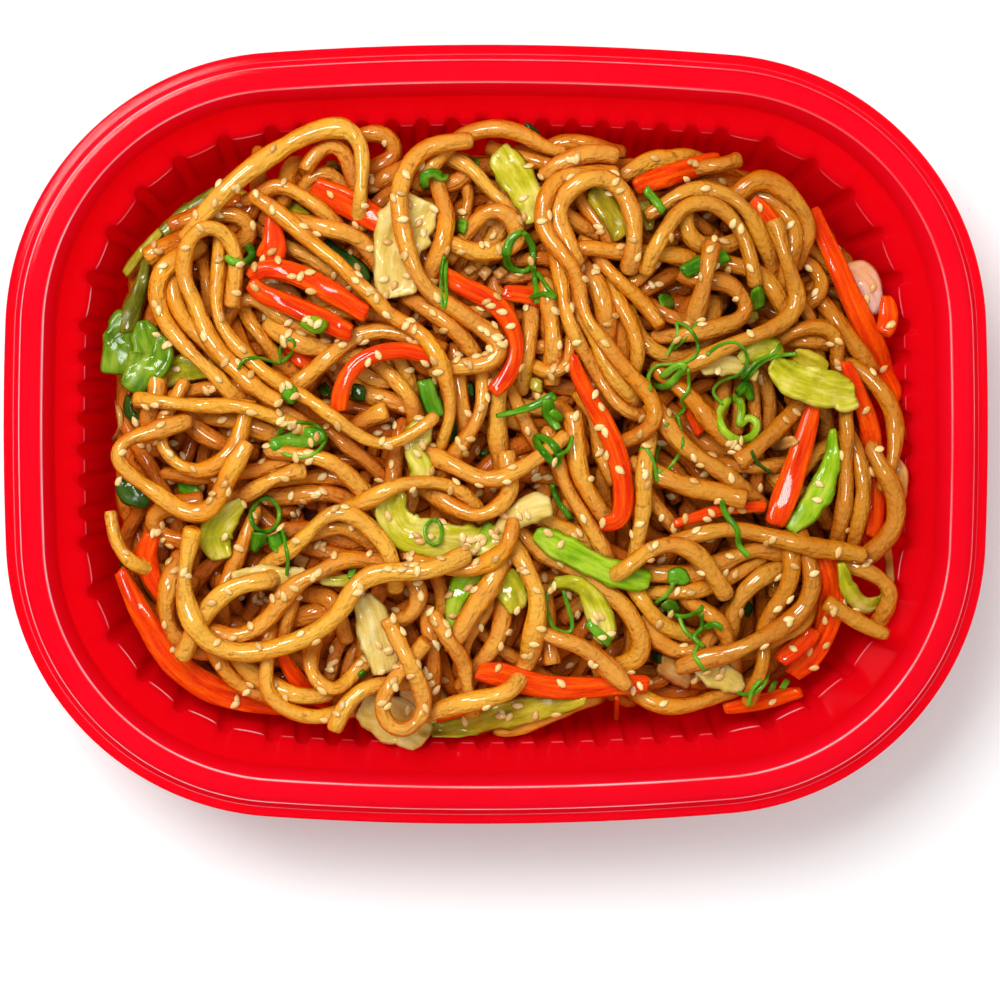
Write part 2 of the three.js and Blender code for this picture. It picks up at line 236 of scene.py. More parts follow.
@dataclass(frozen=True)
class Palette:
    """A material's nodes, and the steps by which a finish mixes its colour and relief."""

    tree: bpy.types.ShaderNodeTree
    shader: bpy.types.Node

    def feed(self, node: bpy.types.Node, values: dict) -> None:
        """Gives a node's sockets another node's result or a value of their own."""
        for key, value in values.items():
            if isinstance(value, Socket):
                self.tree.links.new(value, node.inputs[key])
            else:
                node.inputs[key].default_value = value

    def give(self, socket: str, value: object) -> None:
        """Gives the shader one of its values."""
        self.feed(self.shader, {socket: value})

    def add(self, kind: str, out: str | int, values: dict, **settings: object) -> Socket:
        """Adds a node and feeds it.

        Args:
            kind: The node's type.
            out: Which of its results is wanted.
            values: What each of its sockets gets.
            settings: The node's own settings.

        Returns:
            The result's socket.
        """
        node = self.tree.nodes.new("ShaderNode" + kind)
        for key, value in settings.items():
            setattr(node, key, value)
        self.feed(node, values)
        return node.outputs[out]

    def attribute(self, name: str, out: str = "Fac") -> Socket:
        """What the maker painted on the piece."""
        return self.add("Attribute", out, {}, attribute_name=name)

    def place(self, axis: int) -> Socket:
        """Where a point lies along one of the tray's axes, in metres."""
        return self.add("SeparateXYZ", axis, {0: self.add("TexCoord", "Object", {})})

    def grain(self, axis: int) -> Socket:
        """Where a point lies in its own strip: across, up or along, in millimetres."""
        return self.add("SeparateXYZ", axis, {0: self.attribute("grain", "Vector")})

    def noise(self, scale: float, detail: float = 3.0) -> Socket:
        """A cloud with so many features in a metre, and so many finer octaves."""
        place = self.add("TexCoord", "Object", {})
        return self.add("TexNoise", "Fac", {"Vector": place, "Scale": scale, "Detail": detail})

    def fibre(self, scale: float, run: float, detail: float = 4.0) -> Socket:
        """A cloud drawn out along a piece's own grain.

        Args:
            scale: How fine it is, in waves a millimetre.
            run: How much shorter its step is along the grain than across.
            detail: How many finer octaves it has.

        Returns:
            The cloud's value.
        """
        grain = self.attribute("grain", "Vector")
        drawn = self.add("Mapping", "Vector", {"Vector": grain, "Scale": (1, 1, run)})
        values = {"Vector": drawn, "Scale": scale, "Detail": detail, "Roughness": 0.6}
        return self.add("TexNoise", "Fac", values)

    def step(self, kind: str, first: Socket, second: Socket | float = 0.0) -> Socket:
        """One step of arithmetic, such as ADD, on one value or on two."""
        return self.add("Math", "Value", {0: first, 1: second}, operation=kind)

    def ramp(self, value: Socket, *stops: tuple[float, Colour]) -> Socket:
        """A colour that follows a value through stops, each a place and a colour."""
        made = self.tree.nodes.new("ShaderNodeValToRGB")
        elements = made.color_ramp.elements
        while len(elements) < len(stops):
            elements.new(0.5)
        for element, (place, colour) in zip(elements, stops):
            element.position = place
            element.color = (*colour, 1)
        self.feed(made, {"Fac": value})
        return made.outputs["Color"]

    def reach(self, value: Socket, span: tuple, to: tuple = (0, 1)) -> Socket:
        """A value carried from one range to another and held inside it."""
        low, high = span
        ends = {"From Min": low, "From Max": high, "To Min": to[0], "To Max": to[1]}
        return self.add("MapRange", "Result", ends | {"Value": value})

    def mix(self, amount: Socket, base: Socket, colour: Colour) -> Socket:
        """A base with a share of another colour over it."""
        return self.add("Mix", 2, {0: amount, 6: base, 7: (*colour, 1)}, data_type="RGBA")

    def tint(self, base: Socket, value: Socket, span: tuple, share: float, colour: Colour) -> Socket:
        """A base that takes on another colour as a value crosses a range.

        Args:
            base: The base.
            value: The value.
            span: Where the other colour begins and where it is full.
            share: How much of it there is where it is full.
            colour: The other colour.

        Returns:
            The new colour.
        """
        return self.mix(self.reach(value, span, (0.0, share)), base, colour)

    def bump(self, height: Socket, depth: float, share: float) -> None:
        """Gives the shader relief of a depth in metres."""
        values = {"Strength": share, "Distance": depth, "Height": height}
        self.give("Normal", self.add("Bump", "Normal", values))


@dataclass(frozen=True)
class Finish:
    """What every finish has: a name, and a base that its own nodes dress."""

    name: str = "finish"
    roughness: float = 0.3
    subsurface: float = 0.0
    radius: Colour = (0.004, 0.002, 0.001)
    coat: float = 0.0
    coat_roughness: float = 0.08
    specular: float = 0.5

    def material(self) -> bpy.types.Material:
        """The finish's material, made once and shared."""
        found = bpy.data.materials.get(self.name)
        if found:
            return found
        made = bpy.data.materials.new(self.name)
        made.use_nodes = True
        on = Palette(made.node_tree, made.node_tree.nodes["Principled BSDF"])
        on.give("Roughness", self.roughness)
        on.give("Subsurface Weight", self.subsurface)
        on.give("Subsurface Radius", self.radius)
        on.give("Subsurface Scale", 1.0)
        on.give("Coat Weight", self.coat)
        on.give("Coat Roughness", self.coat_roughness)
        on.give("Specular IOR Level", self.specular)
        self.dress_nodes(on)
        return made

    def dress_nodes(self, on: Palette) -> None:
        """Adds the finish's own colour and relief."""


@dataclass(frozen=True)
class TrayPlastic(Finish):
    """Glossy red formed sheet, a little uneven from the mould."""

    name: str = "tray_red_plastic"
    roughness: float = 0.35
    subsurface: float = 0.7
    radius: Colour = (0.008, 0.0003, 0.0003)
    specular: float = 0.0
    coat: float = 0.14
    coat_roughness: float = 0.07
    # The colour of the painted highlight lines along the bends.
    highlight_pink: Colour = (1.0, 0.58, 0.60)

    def dress_nodes(self, on: Palette) -> None:
        """A saturated red, with painted shade that makes it deeper and duller low in the tray, and painted pale pink
        highlight lines along the bends.
        """
        base = on.ramp(on.noise(30.0, 2.0), (0.3, (0.80, 0.0025, 0.012)), (0.7, (0.86, 0.0035, 0.015)))
        height = on.place(2)
        # Painted shade: the red turns deeper and duller from just below the rim down into the tray.
        base = on.tint(base, height, (0.044, 0.036), 1.0, (0.58, 0.0012, 0.0055))
        # Painted highlight: pale pink lines along the bends, broken up by a noise.
        highlight_patchiness = on.reach(on.noise(22.0, 2.0), (0.32, 0.58), (0.35, 1.0))
        edge_highlight = on.step("MULTIPLY", on.attribute("edge_highlight"), highlight_patchiness)
        on.give("Base Color", on.mix(edge_highlight, base, self.highlight_pink))
        on.give("Coat Weight", on.reach(height, (0.0425, 0.0415), (self.coat, 0.005)))
        on.bump(on.noise(160.0, 1.0), 0.00025, 0.06)


@dataclass(frozen=True)
class NoodleGlaze(Finish):
    """Cooked wheat noodle under a thin brown sauce."""

    name: str = "noodle_glaze"
    roughness: float = 0.45
    specular: float = 0.03
    coat: float = 0.68
    coat_roughness: float = 0.1
    amber: Colour = (1.0, 0.90, 0.55)
    deep: Colour = (0.55, 0.122, 0.001)
    golden: Colour = (0.68, 0.215, 0.002)
    pale: Colour = (0.75, 0.325, 0.008)

    def dress_nodes(self, on: Palette) -> None:
        """Golden brown that changes from strand to strand and darkens towards +X, with painted shade low in the heap
        and on each strand's lower side, and painted light along its top.
        """
        on.give("Coat Tint", (*self.amber, 1))
        base = on.ramp(on.noise(95.0, 2.0), (0.30, self.deep), (0.50, self.golden), (0.70, self.pale))
        tone, streak = on.attribute("tone"), on.fibre(0.55, 0.16, 2.0)
        up, depth = on.grain(1), on.attribute("depth")
        for value, span, share, colour in (
            (tone, (0.5, 1.0), 0.5, (0.75, 0.395, 0.028)),
            (tone, (0.5, 0.0), 0.5, (0.55, 0.120, 0.001)),
            (streak, (0.52, 0.72), 0.24, (0.74, 0.41, 0.05)),
            (streak, (0.46, 0.28), 0.18, (0.52, 0.11, 0.001)),
            # Painted shade on each strand's lower side.
            (up, (1.4, -0.8), 0.75, (0.62, 0.115, 0.0008)),
            # Painted light: a paler, creamier crown along each strand's top.
            (up, (1.0, 2.1), 0.4, (0.80, 0.52, 0.15)),
            # Painted shade: darker the deeper a strand lies under the strands on top.
            (depth, (0.0, 1.0), 0.82, (0.48, 0.078, 0.001)),
            (on.place(0), (0.02, 0.07), 0.5, (0.33, 0.078, 0.001)),
            (on.noise(420.0, 2.0), (0.65, 0.73), 0.5, (0.24, 0.06, 0.006)),
        ):
            base = on.tint(base, value, span, share, colour)
        on.give("Base Color", base)
        on.give("Coat Roughness", on.reach(on.noise(210.0, 1.0), (0.42, 0.60), (0.03, 0.13)))
        on.bump(on.step("ADD", on.noise(640.0, 2.0), on.fibre(0.9, 0.3, 1.0)), 0.0009, 0.9)


@dataclass(frozen=True)
class ShadedCore(Finish):
    """The heap's inside where it shows between strands: sauce-brown noodle painted dark as shade."""

    name: str = "heap_painted_shade"
    roughness: float = 0.5
    specular: float = 0.05
    coat: float = 0.1

    def dress_nodes(self, on: Palette) -> None:
        """Dark brown painted shade over pressed noodle."""
        base = on.ramp(on.noise(130.0), (0.35, (0.13, 0.026, 0.001)), (0.7, (0.30, 0.062, 0.003)))
        on.give("Base Color", base)
        on.bump(on.noise(260.0), 0.001, 0.8)


@dataclass(frozen=True)
class CarrotFlesh(Finish):
    """Cooked carrot strip with a fibrous, wet face."""

    name: str = "carrot_flesh"
    roughness: float = 0.35
    subsurface: float = 0.15
    radius: Colour = (0.004, 0.0010, 0.0003)
    specular: float = 0.03
    coat: float = 0.35
    coat_roughness: float = 0.07
    deep: Colour = (0.64, 0.020, 0.001)
    bright: Colour = (0.80, 0.054, 0.001)
    pale: Colour = (0.92, 0.120, 0.002)

    def dress_nodes(self, on: Palette) -> None:
        """Orange red with streaks along the fibre."""
        base = on.ramp(on.fibre(0.9, 0.08), (0.34, self.deep), (0.50, self.bright), (0.66, self.pale))
        base = on.tint(base, on.noise(70.0, 3.0), (0.5, 0.7), 0.5, (0.74, 0.035, 0.003))
        on.give("Base Color", base)
        on.bump(on.step("ADD", on.noise(700.0, 4.0), on.fibre(2.2, 0.1)), 0.0005, 0.8)


@dataclass(frozen=True)
class Leaf(Finish):
    """Wilted leaf or onion: three shades of one colour, paler at the rib, a little see-through."""

    name: str = "cabbage_leaf"
    dark: Colour = (0.27, 0.27, 0.005)
    light: Colour = (0.50, 0.44, 0.014)
    pale: Colour = (0.80, 0.68, 0.16)
    coat: float = 0.5
    coat_roughness: float = 0.08
    roughness: float = 0.45
    subsurface: float = 0.15
    radius: Colour = (0.003, 0.003, 0.0008)
    specular: float = 0.03

    def dress_nodes(self, on: Palette) -> None:
        """Patches of the three shades, drawn out along the leaf, with a few slanting veins."""
        patches = on.step("ADD", on.noise(85.0, 3.0), on.fibre(0.5, 0.2, 3.0))
        shades = (0.38, self.dark), (0.5, self.light), (0.63, self.pale)
        base = on.ramp(on.step("MULTIPLY", patches, 0.5), *shades)
        veins = self.veins(on)
        on.give("Base Color", on.tint(base, veins, (0, 1), 0.14, self.pale))
        on.give("Coat Roughness", on.reach(on.noise(200.0, 3.0), (0.42, 0.60), (0.05, 0.22)))
        lumps = on.step("ADD", on.noise(380.0, 3.0), on.fibre(1.1, 0.08, 3.0))
        on.bump(on.step("ADD", lumps, on.step("MULTIPLY", veins, 0.15)), 0.0005, 0.6)

    @staticmethod
    def veins(on: Palette) -> Socket:
        """One where a vein runs: slanting side veins that leave the rib, wavered by noise."""
        run = on.step("SUBTRACT", on.grain(2), on.step("ABSOLUTE", on.grain(0)))
        run = on.step("ADD", run, on.step("MULTIPLY", on.noise(150.0, 3.0), 11.0))
        return on.reach(on.step("SINE", on.step("MULTIPLY", run, 1.3)), (0.90, 0.995))


@dataclass(frozen=True)
class SeedCoat(Finish):
    """Toasted sesame: pale tan and satin."""

    name: str = "sesame_seed"
    roughness: float = 0.42
    subsurface: float = 0.2
    radius: Colour = (0.001, 0.0006, 0.0003)
    coat: float = 0.15
    dark: Colour = (0.58, 0.29, 0.06)
    light: Colour = (0.80, 0.50, 0.16)
    pale: Colour = (0.90, 0.66, 0.28)

    def dress_nodes(self, on: Palette) -> None:
        """Tan that changes from seed to seed."""
        shades = (0.0, self.dark), (0.5, self.light), (1.0, self.pale)
        on.give("Base Color", on.ramp(on.attribute("tone"), *shades))
        on.bump(on.noise(900.0), 0.0002, 0.3)


@dataclass(frozen=True)
class FloorPaper(Finish):
    """A plain pale floor."""

    name: str = "floor_paper"
    roughness: float = 0.9
    specular: float = 0.0
    white: float = 0.94

    def dress_nodes(self, on: Palette) -> None:
        """An even white."""
        on.give("Base Color", (self.white, self.white, self.white, 1))


def leaf(name: str, dark: Colour, light: Colour, pale: Colour, coat: float = 0.5) -> Leaf:
    """A leaf's finish in three shades of its own."""
    return Leaf(name=name, dark=dark, light=light, pale=pale, coat=coat)


class Kind(Enum):
    """What a vegetable piece is made of: its finish, and the slot of one that has no node."""

    CARROT = CarrotFlesh(), "carrot"
    LEAF = Leaf(), "cabbage"
    CREAM = leaf("cabbage_cream", (0.56, 0.35, 0.05), (0.72, 0.52, 0.13), (0.84, 0.71, 0.34), 0.45), "cabbage"
    BRIGHT = leaf("cabbage_bright", (0.10, 0.24, 0.002), (0.25, 0.43, 0.005), (0.50, 0.60, 0.05)), "cabbage"
    OLIVE = leaf("cabbage_olive", (0.20, 0.14, 0.003), (0.42, 0.31, 0.010), (0.62, 0.48, 0.05)), "greens"
    GREEN = leaf("scallion_green", (0.025, 0.13, 0.002), (0.085, 0.28, 0.006), (0.22, 0.44, 0.03)), "greens"
    SPRING = (
        leaf("spring_green", (0.045, 0.11, 0.002), (0.12, 0.24, 0.004), (0.27, 0.38, 0.03), 0.3),
        "greens",
    )
    STEM = leaf("spring_stem", (0.07, 0.065, 0.002), (0.16, 0.15, 0.005), (0.34, 0.34, 0.05), 0.4), "greens"
    PEARL = leaf("onion_pearl", (0.70, 0.30, 0.09), (0.70, 0.40, 0.28), (0.78, 0.56, 0.48)), "onion"
    DARK = leaf("dark_leaf", (0.005, 0.022, 0.002), (0.018, 0.06, 0.004), (0.06, 0.12, 0.01), 0.3), "greens"
    ONION = leaf("onion_flesh", (0.36, 0.13, 0.015), (0.56, 0.25, 0.05), (0.74, 0.45, 0.16)), "onion"


# ---------------------------------------------------------------- the tray


@dataclass
class Outline:
    """The tray's outline: four shallow side arcs joined by four corner arcs."""

    half_length: float = 127.0
    half_width: float = 100.4
    long_radius: float = 783.0
    short_radius: float = 793.0
    corner_radius: float = 72.0
    corner: tuple[float, float] = field(init=False)
    short_middle: float = field(init=False)
    long_middle: float = field(init=False)
    short_angle: float = field(init=False)
    long_angle: float = field(init=False)

    def __post_init__(self) -> None:
        """Finds the corner arc's centre, so that it meets both side arcs smoothly."""
        self.short_middle = self.half_length - self.short_radius
        self.long_middle = self.half_width - self.long_radius
        x, y = self.half_length - self.corner_radius, self.half_width - self.corner_radius
        for _ in range(30):
            x = self.short_middle + math.sqrt((self.short_radius - self.corner_radius) ** 2 - y * y)
            y = self.long_middle + math.sqrt((self.long_radius - self.corner_radius) ** 2 - x * x)
        self.corner = (x, y)
        self.short_angle = math.atan2(y, x - self.short_middle)
        self.long_angle = math.atan2(x, y - self.long_middle)

    def inset(self, x: np.ndarray, y: np.ndarray) -> np.ndarray:
        """How far points lie inside the outline."""
        px, py = np.abs(x), np.abs(y)
        short = self.short_radius - np.hypot(px - self.short_middle, py)
        long = self.long_radius - np.hypot(px, py - self.long_middle)
        angle = np.arctan2(py - self.corner[1], px - self.corner[0])
        round_ = self.corner_radius - np.hypot(px - self.corner[0], py - self.corner[1])
        cornered = (angle > self.short_angle) & (angle < math.pi / 2 - self.long_angle)
        return np.where(cornered, round_, np.minimum(short, long))

    def arcs(self) -> list[tuple[float, float, float, float, float, str]]:
        """The eight arcs anticlockwise from +X: centre, radius, two angles and kind."""
        quarter = math.pi / 2
        made = []
        for side in (0, 1):
            flip = -1 if side else 1
            turn = side * math.pi
            first = turn + self.short_angle
            second = turn + quarter - self.long_angle
            third = turn + quarter + self.long_angle
            last = turn + math.pi - self.short_angle
            cx, cy = self.corner
            made += [
                (self.short_middle * flip, 0, self.short_radius, 2 * turn - first, first, "short"),
                (cx * flip, cy * flip, self.corner_radius, first, second, "corner"),
                (0, self.long_middle * flip, self.long_radius, second, third, "long"),
                (-cx * flip, cy * flip, self.corner_radius, third, last, "corner"),
            ]
        return made


@dataclass
class Tray:
    """The formed tray: a flange, a band, a step, a ledge, a fluted wall and a flat floor.

    An inset is how far something stands inside the outline.
    """

    outline: Outline
    height: float = 46.0
    sheet: float = 0.85
    flutes: dict[str, int] = field(default_factory=lambda: {"long": 15, "short": 7, "corner": 6})
    flute_half_width: float = 1.95
    flute_depth: float = 2.0
    flute_points: int = 7
    flute_sweep: float = 1.35
    flute_foot: float = 1.12
    flute_top_inset: float = 13.4
    land_columns: int = 5
    flange_inset: float = 2.5
    flange_height: float = 42.6
    band_outer_inset: float = 4.1
    band_inner_inset: float = 10.0
    step_inset: float = 12.6
    ledge_inset: float = 13.9
    ledge_height: float = 35.6
    ledge_fall: float = 0.35
    shoulder_inset: float = 20.0
    shoulder_height: float = 33.6
    lower_wall_inset: float = 26.0
    lower_wall_height: float = 12.0
    floor_inset: float = 31.0
    floor_height: float = 1.0
    middle_inset: float = 60.0
    middle_draw: float = 0.55
    step_clearance: tuple[float, float] = (12.8, 10.2)
    fine_spacing: float = 1.6
    floor_spacing: float = 8.0
    # How strongly the three rows about a bend take the painted highlight line.
    edge_highlight: tuple[float, float, float] = (0.4, 1.0, 0.4)

    def section(self) -> np.ndarray:
        """The inner face from the middle of the floor out to the flange's edge.

        Returns:
            One row a point: inset, height, and how far a flute cuts there from 0 to 1.
        """
        bends = [
            (self.middle_inset, self.floor_height, 0.0),
            (self.floor_inset, self.floor_height, 4.0),
            (self.lower_wall_inset, self.lower_wall_height, 3.0),
            (self.shoulder_inset, self.shoulder_height, 0.55),
            (self.ledge_inset, self.ledge_height - self.ledge_fall, 1.0),
            (self.step_inset, self.ledge_height, 1.1),
            (self.band_inner_inset, self.height, 0.7),
            (self.band_outer_inset, self.height, 0.4),
            (self.flange_inset, self.flange_height, 0.35),
            (0.0, self.flange_height, 0.0),
        ]
        points = [bends[0][:2]]
        for before, bend, after in zip(bends, bends[1:], bends[2:]):
            points += self.rounded(before[:2], bend[:2], after[:2], bend[2])
        points.append(bends[-1][:2])
        line = self.refined(np.array(points))
        inset, height = line[:, 0], line[:, 1]
        down = (height - self.lower_wall_height) / (self.shoulder_height - self.lower_wall_height)
        cut = np.clip(down, 0, 1) ** 0.6 * (inset < self.floor_inset)
        shelf = np.clip((inset - self.flute_top_inset) / (self.shoulder_inset - self.flute_top_inset), 0, 1)
        cut = np.where(height > self.shoulder_height - 0.3, shelf, cut)
        return np.column_stack([line, cut * (inset > self.flute_top_inset)])

    @staticmethod
    def rounded(before: tuple, bend: tuple, after: tuple, radius: float, steps: int = 5) -> list:
        """A bend in the section, rounded by an arc.

        Args:
            before: The bend's neighbour on one side.
            bend: The sharp bend.
            after: Its neighbour on the other side.
            radius: The arc's radius.
            steps: How many points the arc has.

        Returns:
            The arc's points.
        """
        a, b, c = (np.array(p) for p in (before, bend, after))
        size_in, size_out = np.linalg.norm(b - a), np.linalg.norm(c - b)
        into, out = (b - a) / size_in, (c - b) / size_out
        turn = math.acos(np.clip(into @ out, -1, 1))
        if radius == 0 or turn < 0.02:
            return [tuple(b)]
        reach = min(radius * math.tan(turn / 2), 0.45 * min(size_in, size_out))
        start, end = b - into * reach, b + out * reach
        shares = np.linspace(0, 1, steps)
        return [tuple((1 - t) ** 2 * start + 2 * t * (1 - t) * b + t * t * end) for t in shares]

    def refined(self, line: np.ndarray) -> np.ndarray:
        """Points added where a stretch of the section is long, more of them up the wall."""
        made = [line[0]]
        for a, b in zip(line, line[1:]):
            spacing = self.fine_spacing if b[0] < self.lower_wall_inset + 1 else self.floor_spacing
            count = max(1, math.ceil(np.linalg.norm(b - a) / spacing))
            made += [a + (b - a) * k / count for k in range(1, count + 1)]
        return np.array(made)

    def columns(self) -> list[tuple[np.ndarray, np.ndarray, float, float]]:
        """Stations round the outline: place, outward direction, flute share and facet rise."""
        made = []
        for cx, cy, radius, start, end, kind in self.outline.arcs():
            count = self.flutes[kind]
            inner = radius - self.shoulder_inset
            pitch = (end - start) * inner / count
            edge = self.flute_half_width / pitch
            foot = self.flute_foot * edge
            rise = pitch * pitch / (8 * inner)
            sweep = np.linspace(-self.flute_sweep, self.flute_sweep, self.flute_points)
            across = [math.sin(a) for a in sweep]
            shares = [(u * edge, math.sqrt(max(0.0, 1 - u * u * 1.02)), 0.0) for u in across]
            shares = [(-foot, 0.0, 0.0), *shares, (foot, 0.0, 0.0)]
            for v in np.linspace(-1, 1, self.land_columns + 2)[1:-1]:
                shares.append((0.5 + v * (0.5 - foot), 0.0, rise * (1 - v * v)))
            for flute in range(count + 1):
                for offset, cut, lift in shares:
                    if (flute == 0 and offset < 0) or (flute == count and offset >= 0):
                        continue
                    angle = start + (end - start) * (flute + offset) / count
                    outward = np.array([math.cos(angle), math.sin(angle)])
                    made.append((np.array([cx, cy]) + outward * radius, outward, cut, lift))
        return made

    def build(self) -> bpy.types.Object:
        """Sweeps the section round the outline and gives the sheet its thickness.

        Returns:
            The tray.
        """
        section = self.section()
        place, outward, cut, lift = (np.array(values) for values in zip(*self.columns()))
        count, rows = len(place), len(section)
        depth = section[:, 0] - cut[:, None] * section[:, 2] * self.flute_depth
        depth = depth + lift[:, None] * section[:, 2]
        flat = place[:, None, :] - outward[:, None, :] * np.minimum(depth, self.floor_inset)[:, :, None]
        inner = np.clip((depth - self.floor_inset) / (self.middle_inset - self.floor_inset), 0, 1)
        flat = flat * (1 - inner * self.middle_draw)[:, :, None]
        height = np.broadcast_to(section[:, 1], depth.shape)
        points = np.concatenate([flat, height[:, :, None]], axis=2).reshape(-1, 3)
        points = np.vstack([points, [0, 0, self.floor_height]])
        faces = []
        for i in range(count):
            j = (i + 1) % count
            for k in range(rows - 1):
                faces.append((i * rows + k, i * rows + k + 1, j * rows + k + 1, j * rows + k))
            faces.append((len(points) - 1, i * rows, j * rows))
        tray = mesh_piece("tray_shell", points, faces)
        # Paints pale pink highlight lines along the rim's bends and the lands' top edges.
        paint(tray, "edge_highlight", np.append(self.creases(section, outward, lift, cut), 0.0))
        self.face_up(tray)
        apply(tray, "SOLIDIFY", thickness=self.sheet * MM, offset=-1.0, use_rim=True)
        dress(tray, TrayPlastic(), "tray_red", "tray")
        return tray

    def creases(
        self, section: np.ndarray, outward: np.ndarray, lift: np.ndarray, cut: np.ndarray
    ) -> np.ndarray:
        """How strongly each point takes the painted highlight line: along the band's two edges, and along each land's
        top edge.

        Args:
            section: The section's rows.
            outward: Each column's outward direction.
            lift: How far the land rises at each column.
            cut: How far a flute cuts at each column.

        Returns:
            One number a point, by column and then by row.
        """
        made = np.zeros((len(lift), len(section)))
        land = np.where(lift > 0.12, 0.7, np.where(lift > 0, 0.25, 0.0)) * (cut <= 0)
        for inset, height, strength in (
            (self.band_inner_inset, self.height, 0.9),
            (self.band_outer_inset, self.height, 0.9),
            (self.flange_inset, self.flange_height, 0.35),
            (self.shoulder_inset, self.shoulder_height, land[:, None]),
        ):
            row = np.hypot(section[:, 0] - inset, section[:, 1] - height).argmin()
            made[:, row - 1 : row + 2] = strength * np.array(self.edge_highlight)
        # The painted highlight lines are made fainter towards the +X, +Y side of the tray.
        far_right = np.maximum(outward.sum(axis=1), 0.0) ** 2 / 2
        return (made * (1 - 0.75 * far_right)[:, None]).ravel()

    @staticmethod
    def face_up(tray: bpy.types.Object) -> None:
        """Turns the open sheet so that its faces look into the tray."""
        shape = bmesh.new()
        shape.from_mesh(tray.data)
        bmesh.ops.remove_doubles(shape, verts=shape.verts, dist=TINY)
        bmesh.ops.recalc_face_normals(shape, faces=shape.faces)
        lowest = min(shape.faces, key=lambda f: f.calc_center_median().length)
        if lowest.normal.z < 0:
            bmesh.ops.reverse_faces(shape, faces=shape.faces)
        shape.to_mesh(tray.data)
        shape.free()

    def wall_inset(self, height: np.ndarray) -> np.ndarray:
        """The inset of the wall's inner face at heights."""
        levels = [self.floor_height, self.lower_wall_height, self.shoulder_height, self.ledge_height]
        insets = [self.floor_inset, self.lower_wall_inset, self.shoulder_inset, *self.step_clearance]
        return np.interp(height, [*levels, self.height], insets)
